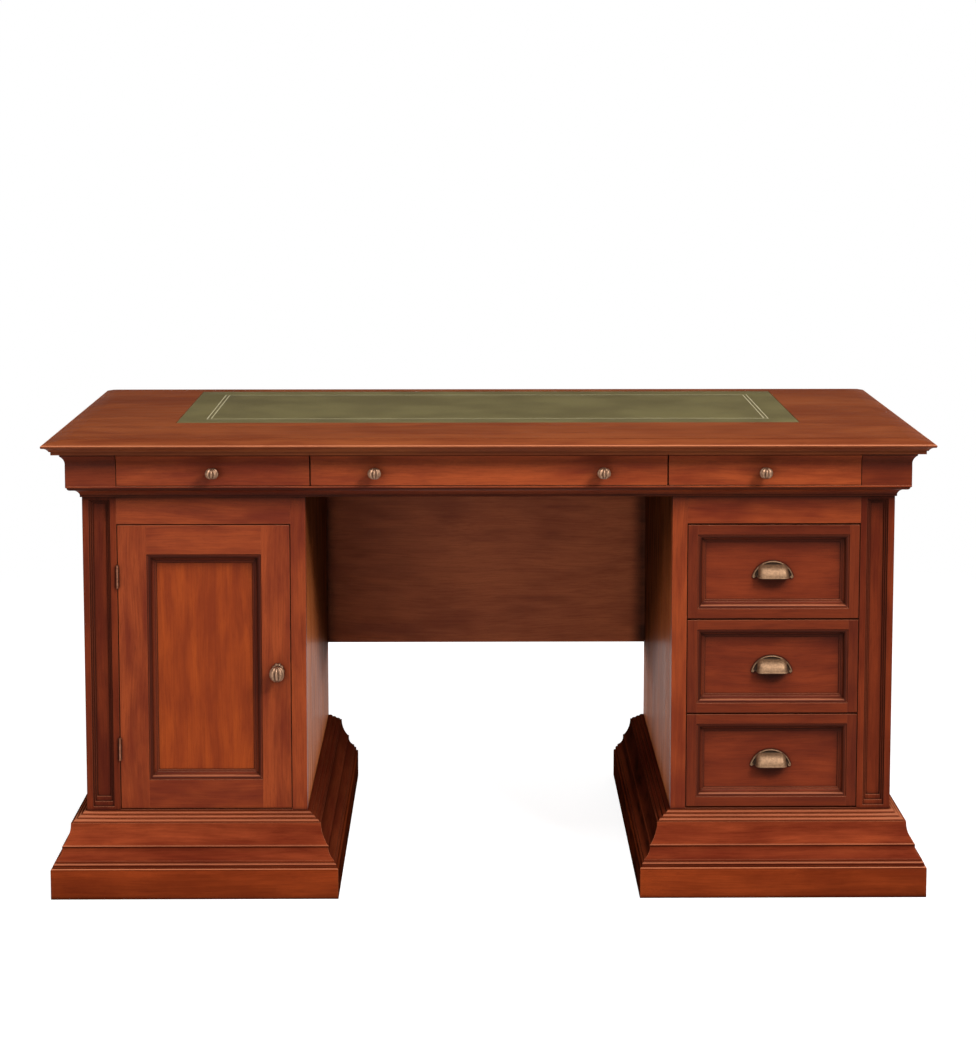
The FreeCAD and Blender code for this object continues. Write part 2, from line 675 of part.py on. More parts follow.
def build_shelf():
    nodes["cupboard_shelf"] = [box(-OUTER_X + SIDE_THICKNESS + SHELF_CLEARANCE,
                                   -INNER_X - INNER_SIDE_THICKNESS - SHELF_CLEARANCE,
                                   BEHIND_PILASTER + SHELF_CLEARANCE, CARCASS_BACK - SHELF_CLEARANCE,
                                   SHELF_UNDERSIDE, SHELF_UNDERSIDE + SHELF_THICKNESS)]
    nodes["shelf_pins"] = [shelf_pin(*place, SHELF_PIN_RADIUS) for place in shelf_pin_places()]


# ---------------------------------------------------------------- drawers

def open_box(x0, x1, y0, y1, z0, z1, wall, inner_front):
    """Drawer box without its bottom: two sides, a back and, if wanted, an inner front."""
    walls = [
        box(x0, x0 + wall, y0, y1, z0, z1),
        box(x1 - wall, x1, y0, y1, z0, z1),
        box(x0 + wall, x1 - wall, y1 - wall, y1, z0, z1),
    ]
    if inner_front:
        walls.append(box(x0 + wall, x1 - wall, y0, y0 + wall, z0, z1))
    return walls


def build_frieze_drawer(name, x0, x1, knob_places):
    left = x0 + FRIEZE_DRAWER_GAP
    right = x1 - FRIEZE_DRAWER_GAP
    profile = frieze_face(FRIEZE_FRONT_THICKNESS, FRIEZE_LOW + FRIEZE_DRAWER_GAP, TOP_UNDERSIDE - FRIEZE_DRAWER_GAP)
    nodes[name + "_front"] = [moved(straight_run(profile, left, right), y=-FRIEZE_Y)]
    box_left = x0 + FRIEZE_GUIDE / 2 + GUIDE_CLEARANCE
    box_right = x1 - FRIEZE_GUIDE / 2 - GUIDE_CLEARANCE
    front_back = FRIEZE_FRONT_THICKNESS - FRIEZE_Y
    low = FRIEZE_LOW + FRIEZE_BOX_CLEARANCE
    walls = open_box(box_left, box_right, front_back, front_back + FRIEZE_BOX_DEPTH,
                     low, low + FRIEZE_BOX_HEIGHT, FRIEZE_BOX_WALL, False)
    bottom = box(box_left + FRIEZE_BOX_WALL, box_right - FRIEZE_BOX_WALL, front_back,
                 front_back + FRIEZE_BOX_DEPTH - FRIEZE_BOX_WALL,
                 low + FRIEZE_BOX_CLEARANCE, low + FRIEZE_BOX_CLEARANCE + DRAWER_BOTTOM)
    nodes[name + "_box"] = walls + [bottom]
    knobs = []
    cove_foot = TOP_UNDERSIDE - FRIEZE_COVE_HEIGHT
    knob_height = cove_foot - FRIEZE_KNOB_BELOW_COVE - FRIEZE_KNOB_ROSE / 2
    for x in knob_places:
        knobs += knob(x, -FRIEZE_Y, knob_height, FRIEZE_KNOB_DIAMETER, FRIEZE_KNOB_ROSE)
    nodes[name + "_knobs"] = knobs


def build_frieze_drawers():
    divisions = drawer_divisions()
    end_knob = FRIEZE_X - FRIEZE_CORNER_WIDTH - END_KNOB_FROM_CORNER
    build_frieze_drawer("frieze_drawer_left", divisions[0], divisions[1], [-end_knob])
    build_frieze_drawer("frieze_drawer_centre", divisions[1], divisions[2],
                        [-CENTRE_KNOB_SPACING / 2, CENTRE_KNOB_SPACING / 2])
    build_frieze_drawer("frieze_drawer_right", divisions[2], divisions[3], [end_knob])


def build_pedestal_drawer(name, low, height):
    """One drawer of the right pedestal, with its front flush with the face frame."""
    left = OPENING_INNER + DOOR_GAP
    width = OPENING_OUTER - OPENING_INNER - 2 * DOOR_GAP
    parts = framed_panel(width, height, DRAWER_FRAME, DRAWER_FRAME, FACE_THICKNESS, DRAWER_SINKING,
                         DRAWER_MOULDING_WIDTH)
    nodes[name + "_front"] = [moved(piece, left, -FACE_Y, low) for group in parts for piece in group]
    box_left = OPENING_INNER + DRAWER_SIDE_ROOM
    box_right = OPENING_OUTER - DRAWER_SIDE_ROOM
    box_low = low + DRAWER_LIFT
    box_back = BEHIND_FACE + DRAWER_BOX_DEPTH
    nodes[name + "_box"] = open_box(box_left, box_right, BEHIND_FACE, box_back,
                                    box_low, low + height - DRAWER_HEADROOM, DRAWER_BOX_WALL, True)
    bottom_low = box_low + DRAWER_BOTTOM_RISE
    nodes[name + "_bottom"] = [box(box_left + DRAWER_BOX_WALL, box_right - DRAWER_BOX_WALL,
                                   BEHIND_FACE + DRAWER_BOX_WALL, box_back - DRAWER_BOX_WALL,
                                   bottom_low, bottom_low + DRAWER_BOTTOM)]
    nodes[name + "_pull"] = [cup_pull(left + width / 2, -FACE_Y + DRAWER_SINKING, low + height / 2 - PULL_DROP)]


def drawer_runners(low):
    """A bearing ledge and a guide on each side of one drawer."""
    ledge_high = low + DRAWER_LIFT - RUNNER_CLEARANCE
    ledge_low = ledge_high - RUNNER_HEIGHT
    box_left = OPENING_INNER + DRAWER_SIDE_ROOM
    box_right = OPENING_OUTER - DRAWER_SIDE_ROOM
    inner_wall = INNER_X + INNER_SIDE_THICKNESS
    outer_wall = OUTER_X - SIDE_THICKNESS
    guide_high = ledge_high + GUIDE_HEIGHT
    return [
        box(inner_wall, box_left + RUNNER_BEARING, BEHIND_FACE, CARCASS_BACK, ledge_low, ledge_high),
        box(box_right - RUNNER_BEARING, outer_wall, BEHIND_PILASTER, CARCASS_BACK, ledge_low, ledge_high),
        box(inner_wall, box_left - GUIDE_CLEARANCE, BEHIND_FACE, CARCASS_BACK, ledge_high, guide_high),
        box(box_right + GUIDE_CLEARANCE, outer_wall, BEHIND_PILASTER, CARCASS_BACK, ledge_high, guide_high),
    ]


def build_pedestal_drawers():
    clear_height = OPENING_HIGH - OPENING_LOW
    height = (clear_height - (DRAWER_COUNT + 1) * DRAWER_GAP) / DRAWER_COUNT
    runners = []
    for row in range(DRAWER_COUNT):
        low = OPENING_HIGH - (row + 1) * (height + DRAWER_GAP)
        build_pedestal_drawer(f"pedestal_drawer_{row + 1}", low, height)
        runners += drawer_runners(low)
    nodes["pedestal_drawer_runners"] = runners


# ---------------------------------------------------------------- brass

def lobed_outline(radius, height):
    """Closed outline of equal round lobes in the plane Z = height, with one lobe straight ahead."""
    sides = KNOB_LOBES * KNOB_SIDES_PER_LOBE
    points = []
    for side in range(sides + 1):
        angle = 2 * pi * side / sides
        reach = radius * (1.0 - KNOB_GROOVE * (1.0 - abs(cos(0.5 * KNOB_LOBES * angle))))
        points.append(Vec(reach * sin(angle), -reach * cos(angle), height))
    return Part.makePolygon(points)


def knob_head(diameter):
    """Upright melon of equal lobes with its middle at the origin. A pole is a share of a half turn."""
    outlines = []
    for level in range(KNOB_SECTIONS):
        latitude = pi * (KNOB_POLE + (1.0 - 2 * KNOB_POLE) * level / (KNOB_SECTIONS - 1))
        height = -KNOB_HEIGHT_SHARE * diameter / 2 * cos(latitude)
        outlines.append(lobed_outline(diameter / 2 * sin(latitude) ** KNOB_FULLNESS, height))
    return Part.makeLoft(outlines, True, True)


def knob(x, y, z, diameter, rose_diameter):
    """Melon knob on a turned stem and a bevelled rose plate."""
    rose_radius = rose_diameter / 2
    rose = revolved([(0.0, 0.0), (KNOB_ROSE_THICKNESS, 0.0),
                     (KNOB_ROSE_THICKNESS, rose_radius - KNOB_ROSE_BEVEL), (0.0, rose_radius)])
    middle = KNOB_STEM_LENGTH + diameter / 2
    stem = Part.makeCylinder(KNOB_STEM_RADIUS, middle - KNOB_ROSE_THICKNESS, Vec(0, -middle, 0), Y_AXIS)
    head = moved(knob_head(diameter), y=-middle).fuse(stem)
    return [moved(rose, x, y, z), moved(head, x, y, z).Solids[0]]


def pull_flange():
    """Round-topped plate with a raised rim and a round ear at each end, its back in Y = 0."""
    half = PULL_FLANGE_WIDTH / 2
    radius = (half ** 2 + PULL_FLANGE_HEIGHT ** 2) / (2 * PULL_FLANGE_HEIGHT)
    middle = Vec(0, 0, PULL_FLANGE_HEIGHT - radius)
    raised = PULL_FLANGE_THICKNESS + PULL_RIM_HEIGHT
    plate = Part.makeCylinder(radius, raised, middle, Y_AXIS * -1)
    face = middle - Y_AXIS * PULL_FLANGE_THICKNESS
    plate = plate.cut(Part.makeCylinder(radius - PULL_RIM_WIDTH, raised, face, Y_AXIS * -1))
    flange = plate.common(box(-half, half, -raised, 0, 0, PULL_FLANGE_HEIGHT))
    for end in (PULL_EAR_RADIUS - half, half - PULL_EAR_RADIUS):
        flange = flange.fuse(Part.makeCylinder(PULL_EAR_RADIUS, raised, Vec(end, 0, 0), Y_AXIS * -1))
    return flange


def quarter_barrel(grow):
    """Quarter of a lying cylinder with rounded ends, larger than the cup by grow on every side."""
    half_width = PULL_CUP_WIDTH / 2 + grow
    radius = PULL_CUP_RADIUS + grow
    barrel = Part.makeCylinder(radius, 2 * half_width, Vec(-half_width, 0, 0), X_AXIS)
    quarter = barrel.common(box(-half_width, half_width, -radius, 0, 0, radius))
    arcs = [edge for edge in quarter.Edges if edge.Curve.TypeId == "Part::GeomCircle"]
    return quarter.makeFillet(PULL_CUP_CORNER + grow, arcs)


def cup_pull(x, y, z):
    """Hooded cup with a lip round its mouth on a rimmed flange, open at the bottom for the fingers."""
    lip_space = box(-PULL_CUP_WIDTH, PULL_CUP_WIDTH, -2 * PULL_CUP_RADIUS, 0, 0, PULL_LIP_HEIGHT)
    lip = quarter_barrel(PULL_LIP_PROJECTION).common(lip_space)
    pull = pull_flange().fuse(quarter_barrel(0.0)).fuse(lip).cut(quarter_barrel(-PULL_WALL))
    return moved(pull, x, y, z).Solids[0]


# ---------------------------------------------------------------- assembly

def build_pedestals():
    frame_plate = -OPENING_OUTER - HINGE_LEAF
    for name, pieces in pedestal_pieces().items():
        nodes["right_pedestal_" + name] = [mirrored(piece) for piece in pieces]
        if name == "pilaster":
            for height in hinge_heights():
                pieces = [piece.cut(leaf_recess(frame_plate, height)) for piece in pieces]
        if name in ("outer_side", "inner_side"):
            for place in shelf_pin_places():
                hole = shelf_pin(*place, SHELF_PIN_RADIUS + PIN_FIT)
                pieces = [piece.cut(hole) for piece in pieces]
        nodes["left_pedestal_" + name] = pieces


def export_all():
    os.makedirs("parts", exist_ok=True)
    for name, solids in nodes.items():
        shape = solids[0] if len(solids) == 1 else Part.makeCompound(solids)
        shape.exportStep(f"parts/{name}.step")


build_top()
build_frieze()
build_pedestals()
build_hinges()
build_door()
build_catch()
build_shelf()
build_frieze_drawers()
build_pedestal_drawers()
export_all()
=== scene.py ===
"""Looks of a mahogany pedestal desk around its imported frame.

Sizes are in metres. The front faces -Y and the floor is Z = 0.
"""
import json
import math
import random

import bmesh
import bpy
import numpy as np
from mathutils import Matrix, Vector

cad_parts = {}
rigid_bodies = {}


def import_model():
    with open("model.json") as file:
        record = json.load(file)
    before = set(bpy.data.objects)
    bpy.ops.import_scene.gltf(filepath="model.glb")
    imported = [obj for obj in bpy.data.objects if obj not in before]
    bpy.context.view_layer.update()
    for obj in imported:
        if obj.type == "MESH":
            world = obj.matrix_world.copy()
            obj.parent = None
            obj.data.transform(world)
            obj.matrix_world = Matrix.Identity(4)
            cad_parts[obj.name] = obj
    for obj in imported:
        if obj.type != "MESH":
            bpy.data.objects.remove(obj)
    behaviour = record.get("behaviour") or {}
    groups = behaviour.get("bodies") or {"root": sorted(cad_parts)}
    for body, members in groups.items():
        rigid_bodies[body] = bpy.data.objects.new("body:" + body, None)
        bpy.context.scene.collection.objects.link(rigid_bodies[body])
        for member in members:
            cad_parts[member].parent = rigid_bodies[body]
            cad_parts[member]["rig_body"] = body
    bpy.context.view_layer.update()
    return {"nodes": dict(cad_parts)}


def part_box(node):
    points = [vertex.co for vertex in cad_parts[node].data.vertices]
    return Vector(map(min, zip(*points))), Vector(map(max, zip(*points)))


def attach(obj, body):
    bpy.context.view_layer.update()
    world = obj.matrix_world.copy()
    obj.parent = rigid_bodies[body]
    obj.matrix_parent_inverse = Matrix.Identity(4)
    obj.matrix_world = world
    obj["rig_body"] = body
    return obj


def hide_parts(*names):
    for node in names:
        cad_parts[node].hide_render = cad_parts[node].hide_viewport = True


# The camera: where it stands, how far it looks down and to the right, its lens and sensor in millimetres,
# the frame's downward shift, and how far it sees.
CAMERA_PLACE = (-0.0368, -4.3931, 1.3883)
CAMERA_PITCH = 0.1035
CAMERA_YAW = 0.0086
CAMERA_LENS = 81.4
CAMERA_SENSOR = 36.0
CAMERA_SHIFT = -0.177
CAMERA_SIGHT = 200.0

# Daylight-like level of the room for everything but the white that the camera and mirrors see.
ROOM_LEVEL = 0.22

# The floor: how far it runs, how far it lies below the desk's feet, and where its shadow fades to white.
FLOOR_REACH = 30.0
FLOOR_DROP = 0.0002
FLOOR_FADE_FROM = 1.3
FLOOR_FADE_TO = 2.8
FLOOR_GREY = 0.45
FLOOR_GLOW = 0.86

# Dark card behind the desk, met only by reflections.
FLAG_HALF_WIDTH = 4.0
FLAG_PLACE = 1.3
FLAG_LOW = 0.86
FLAG_HIGH = 3.4
FLAG_GREY = 0.02

# Wood figure, as how often each pattern repeats per metre along, across and through a board. Waves of about
# WAVE_SIZE bend all patterns but the patches and the pores.
PATCH_RATE = (2.6, 9.0, 9.0)
MOTTLE_RATE = (11.0, 44.0, 44.0)
STREAK_RATE = (1.7, 58.0, 58.0)
FIBRE_RATE = (14.0, 420.0, 420.0)
PORE_RATE = (85.0, 1500.0, 1500.0)
WAVE_RATE = (3.1, 6.0, 6.0)
WAVE_SIZE = 0.035

# How much of the figure each pattern makes, and how far a board's own tone shifts it.
PATCH_SHARE = 0.4
MOTTLE_SHARE = 0.35
STREAK_SHARE = 0.25
TONE_SHARE = 0.04
FIBRE_DARKNESS = 0.25
PORE_DARKNESS = 0.25

# Boards: how far apart their stretches of timber may lie, from what width one counts as wide when it stands,
# and below what width a strip counts as slim.
GRAIN_SEED = 7
BOARD_SPREAD = 40.0
WIDE_BOARD = 0.25
SLIM_STRIP = 0.024

# Ridges: a round of RIDGE_RADIUS or less counts in full, and one starts to count where its roundness is
# RIDGE_FROM of that. Faces that meet within FLAT_TURN radians are one facet, past ROUND_TURN it's an edge.
RIDGE_RADIUS = 0.006
RIDGE_FROM = 0.4
FLAT_TURN = 0.005
ROUND_TURN = 0.8

# Painted shade, with some dark glazing in the tightest corners: the wood is darkened in corners, under
# overhangs on the side that LEAN tips towards the lamps, on slim strips and on the undersides of ridges.
# LOW_SHADE and
# KNEEHOLE_SHADE paint shade low on the desk and in the kneehole.
SHADE_AND_GLAZE_REACH = 0.009
SHADE_REACH = 0.045
LEAN = (0.2, 0.0, 0.62)
SLIM_DARKENING = 0.25
UNDER_RIDGE_SHADE = 0.85
LOW_SHADE = {"reach": 1.2, "open_share": 0.72, "shut_share": 0.56, "lean": LEAN, "samples": 24}
KNEEHOLE_LEAN = (0.0, 0.6, 0.5)
KNEEHOLE_SHADE = {"reach": 0.45, "open_share": 0.72, "shut_share": 0.35, "lean": KNEEHOLE_LEAN, "samples": 16}

# What counts as an upper side, lit by the lamps, with UPWARD leaning a little to the right like the key lamp,
# and as an edge, which the finishes paint paler: on the wood as a painted highlight with rubbed wear.
UPWARD = (0.25, 0.0, 0.97)
UPWARD_FROM = -0.3
UPWARD_TO = 0.8
EDGE_TURNED = 0.88
EDGE_FLAT = 0.998
EDGE_RADIUS = 0.0015
TIMBER_EDGE = 0.0009
METAL_EDGE = 0.0005
PLASTIC_EDGE = 0.0006
TIMBER_SHADE_REACH = 0.03
SMALL_SHADE_REACH = 0.006

# Depths of the fine relief: polished pores, open pores, leather grain, casting skin and plastic texture.
PORE_DEPTH = 0.00012
OPEN_PORE_DEPTH = 0.00015
LEATHER_DEPTH = 0.0002
CAST_DEPTH = 0.00006
PLASTIC_DEPTH = 0.00008

# Leather, with its grain's cells per metre, and its two gilt lines, measured in from its edge.
LEATHER_CELLS = 900.0
LEATHER_STEPS = 12
LEATHER_GAP = 0.0004
LEATHER_THICKNESS = 0.0015
LEATHER_ROLL = 0.0012
GILT_INSETS = (0.050, 0.057)
GILT_WIDTH = 0.0022
GILT_DEPTH = 0.00015
GILT_SLOPE = 0.0005


def shade(red, green, blue):
    """Linear colour of a display colour given in 0 to 255."""
    def linear(level):
        level /= 255
        return level / 12.92 if level <= 0.04045 else ((level + 0.055) / 1.055) ** 2.4
    return linear(red), linear(green), linear(blue), 1.0


# ---------------------------------------------------------------- frame

for leftover in list(bpy.data.objects):
    bpy.data.objects.remove(leftover)
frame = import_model()
nodes = frame["nodes"]
chance = random.Random(GRAIN_SEED)


def merged_corners(mesh):
    """The mesh's points, each triangle's corners, and the corners with points in one place counted as one."""
    co = np.zeros(len(mesh.vertices) * 3, np.float32)
    mesh.vertices.foreach_get("co", co)
    co = co.reshape(-1, 3)
    rounded = np.round(co * 1e6).astype(np.int64)
    _, first, same = np.unique(rounded, axis=0, return_index=True, return_inverse=True)
    corners = np.zeros(len(mesh.loops), np.int32)
    mesh.loops.foreach_get("vertex_index", corners)
    return co, corners.reshape(-1, 3), first[same.ravel()][corners].reshape(-1, 3)


def solids_of(triangles):
    """Runs of triangles that each close one solid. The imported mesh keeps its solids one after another."""
    open_edges = set()
    start = 0
    for index, (a, b, c) in enumerate(triangles.tolist()):
        for edge in ((a, b), (b, c), (c, a)):
            if edge[::-1] in open_edges:
                open_edges.remove(edge[::-1])
            elif edge[0] != edge[1]:
                open_edges.add(edge)
        if not open_edges:
            yield start, index + 1
            start = index + 1


def ridges_of(co, triangles):
    """How strongly each triangle of one solid bulges: 1 on beads and reeds of RIDGE_RADIUS or less, 0 on
    flat and hollow faces. Triangles in one plane are one facet and share their value."""
    points = co[triangles]
    cross = np.cross(points[:, 1] - points[:, 0], points[:, 2] - points[:, 0])
    doubled = np.linalg.norm(cross, axis=1) + 1e-15
    normals = cross / doubled[:, None]
    middles = points.mean(axis=1)
    joined = list(range(len(triangles)))

    def root(face):
        while joined[face] != face:
            joined[face] = joined[joined[face]]
            face = joined[face]
        return face

    beside = {}
    turns = []
    for face, corners in enumerate(triangles.tolist()):
        for a, b in zip(corners, corners[1:] + corners[:1]):
            other = beside.pop((b, a), None)
            if other is None:
                beside[(a, b)] = face
                continue
            turn = math.acos(min(1.0, float(normals[face] @ normals[other])))
            if turn < FLAT_TURN:
                joined[root(face)] = root(other)
            elif turn < ROUND_TURN and float(normals[face] @ (middles[other] - middles[face])) < 0:
                turns.append((face, other, turn))
    facet = np.array([root(face) for face in range(len(triangles))])
    lengths = np.zeros(len(facet))
    np.maximum.at(lengths, facet, np.linalg.norm(points - np.roll(points, 1, axis=1), axis=2).max(axis=1))
    widths = np.bincount(facet, doubled / 2, len(facet)) / np.maximum(lengths, 1e-9)
    bulge = np.zeros(len(facet))
    for face, other, turn in turns:
        sharpness = 2 * turn / max(widths[facet[face]] + widths[facet[other]], 1e-9)
        for each in (facet[face], facet[other]):
            bulge[each] = max(bulge[each], sharpness)
    return np.clip((bulge[facet] * RIDGE_RADIUS - RIDGE_FROM) / (1 - RIDGE_FROM), 0.0, 1.0)


def lay_grain(node, upright, veneered):
    """Gives each board of a node its own stretch of timber, with X of board_place along the board. Where
    upright is set, a wide board that stands has its grain upright. veneered lays one sheet over all boards.
    board_slim is 1 on slim strips of moulding, which the wood recipe paints darker. board_ridge is 1 on
    rounded ridges."""
    mesh = nodes[node].data
    co, corners, triangles = merged_corners(mesh)
    place = np.zeros_like(co)
    tone = np.zeros(len(co), np.float32)
    slim = np.zeros(len(co), np.float32)
    ridge = np.zeros(len(triangles), np.float32)
    for start, end in solids_of(triangles):
        used = np.unique(corners[start:end])
        size = np.ptp(co[used], axis=0)
        along = int(np.argmax(size))
        if upright and along != 2 and size[2] > WIDE_BOARD:
            along = 2
        shift = [chance.uniform(0, BOARD_SPREAD) for _ in range(3)]
        board_tone = chance.random()
        if veneered:
            along, shift, board_tone = 0, [0.0, 0.0, 0.0], 0.5
        order = [along] + [axis for axis in range(3) if axis != along]
        place[used] = co[used][:, order] + np.array(shift, np.float32)
        tone[used] = board_tone
        slim[used] = float(sorted(size)[1] < SLIM_STRIP)
        ridge[start:end] = ridges_of(co, triangles[start:end])
    made = mesh.attributes.new("board_place", "FLOAT_VECTOR", "POINT")
    made.data.foreach_set("vector", place.ravel())
    for label, domain, values in (("board_tone", "POINT", tone), ("board_slim", "POINT", slim),
                                  ("board_ridge", "FACE", ridge)):
        made = mesh.attributes.new(label, "FLOAT", domain)
        made.data.foreach_set("value", values)


# ---------------------------------------------------------------- material recipes

class Recipe:
    """One material's node tree, with short calls for the nodes that recipes share."""

    def __init__(self, name):
        self.material = bpy.data.materials.new(name)
        self.material.use_nodes = True
        self.tree = self.material.node_tree
        self.shader = self.tree.nodes["Principled BSDF"]
        self.shader.distribution = "GGX"

    def node(self, kind, **settings):
        """A new shader node of a kind, with its settings."""
        made = self.tree.nodes.new("ShaderNode" + kind)
        for key, value in settings.items():
            setattr(made, key, value)
        return made

    def feed(self, socket, value):
        """Links a socket to another node's output, or sets it to a plain value."""
        if isinstance(value, bpy.types.NodeSocket):
            self.tree.links.new(value, socket)
        else:
            socket.default_value = value

    def math(self, operation, first, second):
        """A number from two numbers."""
        made = self.node("Math", operation=operation)
        self.feed(made.inputs[0], first)
        self.feed(made.inputs[1], second)
        return made.outputs[0]

    def plus(self, first, second):
        return self.math("ADD", first, second)

    def minus(self, first, second):
        return self.math("SUBTRACT", first, second)

    def times(self, first, second):
        return self.math("MULTIPLY", first, second)

    def most(self, first, second):
        return self.math("MAXIMUM", first, second)

    def vector(self, operation, first, second):
        """A vector from two vectors, or a number from their dot product."""
        made = self.node("VectorMath", operation=operation)
        self.feed(made.inputs[0], first)
        self.feed(made.inputs[1], second)
        return made.outputs["Value" if operation == "DOT_PRODUCT" else "Vector"]

    def noise(self, vector, detail=2.0, roughness=0.5, scale=1.0):
        """A noise texture of scale repeats per unit of the vector."""
        made = self.node("TexNoise")
        self.feed(made.inputs["Vector"], vector)
        made.inputs["Scale"].default_value = scale
        made.inputs["Detail"].default_value = detail
        made.inputs["Roughness"].default_value = roughness
        return made

    def pattern(self, place, rate, **settings):
        """Grey noise that repeats rate times per metre along, across and through a board."""
        return self.noise(self.vector("MULTIPLY", place, rate), **settings).outputs["Fac"]

    def spread(self, value, low, high, to_low=0.0, to_high=1.0):
        """Value taken smoothly from low..high to to_low..to_high, and held at both ends."""
        made = self.node("MapRange", interpolation_type="SMOOTHSTEP")
        for socket, given in zip(made.inputs, (value, low, high, to_low, to_high)):
            self.feed(socket, given)
        return made.outputs["Result"]

    def mixed(self, share, first, second):
        """The first colour with a share of the second over it. 6, 7 and 2 are the node's colour sockets."""
        made = self.node("Mix", data_type="RGBA", blend_type="MIX")
        self.feed(made.inputs[0], share)
        self.feed(made.inputs[6], first)
        self.feed(made.inputs[7], second)
        return made.outputs[2]

    def closeness(self, reach, open_share=0.97, shut_share=0.5, lean=None, samples=8):
        """Goes from 0 on open surfaces to 1 in corners narrower than reach. lean tips the direction that the
        surface is seen from, so that what stands on that side of it counts for more."""
        made = self.node("AmbientOcclusion", samples=samples)
        made.inputs["Distance"].default_value = reach
        if lean:
            tipped = self.vector("ADD", self.node("NewGeometry").outputs["Normal"], lean)
            self.feed(made.inputs["Normal"], self.vector("NORMALIZE", tipped, (0, 0, 0)))
        return self.spread(made.outputs["AO"], shut_share, open_share, 1.0, 0.0)

    def attribute(self, name, output="Fac"):
        """What lay_grain stored in the mesh under that name."""
        return self.node("Attribute", attribute_name=name).outputs[output]

    def upness(self, normal):
        """Goes from 0 where a normal points down to 1 where it points up."""
        return self.spread(self.vector("DOT_PRODUCT", normal, UPWARD), UPWARD_FROM, UPWARD_TO)

    def edges(self, radius):
        """A normal rounded over edges, and a mask that is 1 on them."""
        rounded = self.node("Bevel", samples=6)
        rounded.inputs["Radius"].default_value = radius
        flat = self.node("NewGeometry").outputs["Normal"]
        facing = self.vector("DOT_PRODUCT", rounded.outputs["Normal"], flat)
        return rounded.outputs["Normal"], self.spread(facing, EDGE_TURNED, EDGE_FLAT, 1.0, 0.0)

    def bump(self, height, distance, strength, normal=None):
        """A normal with relief of that depth laid on it, or on the surface's own."""
        made = self.node("Bump")
        made.inputs["Strength"].default_value = strength
        made.inputs["Distance"].default_value = distance
        self.feed(made.inputs["Height"], height)
        if normal is not None:
            self.feed(made.inputs["Normal"], normal)
        return made.outputs["Normal"]

    def set(self, **values):
        """Sets or feeds the shader's sockets, with spaces in their names written as underscores."""
        for key, value in values.items():
            self.feed(self.shader.inputs[key.replace("_", " ")], value)


def figured(recipe, pale, deep, dark):
    """Mahogany's own colour: soft patches and mottle, ribbon streaks, and fine dark fibre and pores. It comes
    with the mottle, the streaks, the fibre and the pores."""
    place = recipe.attribute("board_place", "Vector")
    wave = recipe.noise(recipe.vector("MULTIPLY", place, WAVE_RATE), detail=1.0).outputs["Color"]
    wave = recipe.vector("SUBTRACT", wave, (0.5, 0.5, 0.5))
    wave = recipe.vector("MULTIPLY", wave, (0, WAVE_SIZE, WAVE_SIZE))
    bent = recipe.vector("ADD", place, wave)
    patch = recipe.pattern(place, PATCH_RATE)
    mottle = recipe.pattern(bent, MOTTLE_RATE)
    streak = recipe.pattern(bent, STREAK_RATE, detail=3.0, roughness=0.6)
    fibre = recipe.pattern(bent, FIBRE_RATE)
    pore = recipe.spread(recipe.pattern(place, PORE_RATE, detail=1.0), 0.6, 0.72)

    figure = recipe.plus(recipe.times(patch, PATCH_SHARE), recipe.times(mottle, MOTTLE_SHARE))
    figure = recipe.plus(figure, recipe.times(streak, STREAK_SHARE))
    tone = recipe.minus(recipe.attribute("board_tone"), 0.5)
    figure = recipe.plus(figure, recipe.times(tone, TONE_SHARE))
    colour = recipe.mixed(recipe.spread(figure, 0.36, 0.64), deep, pale)
    colour = recipe.mixed(recipe.spread(fibre, 0.35, 0.75, 0.0, FIBRE_DARKNESS), colour, dark)
    colour = recipe.mixed(recipe.times(pore, PORE_DARKNESS), colour, dark)
    return colour, mottle, streak, fibre, pore


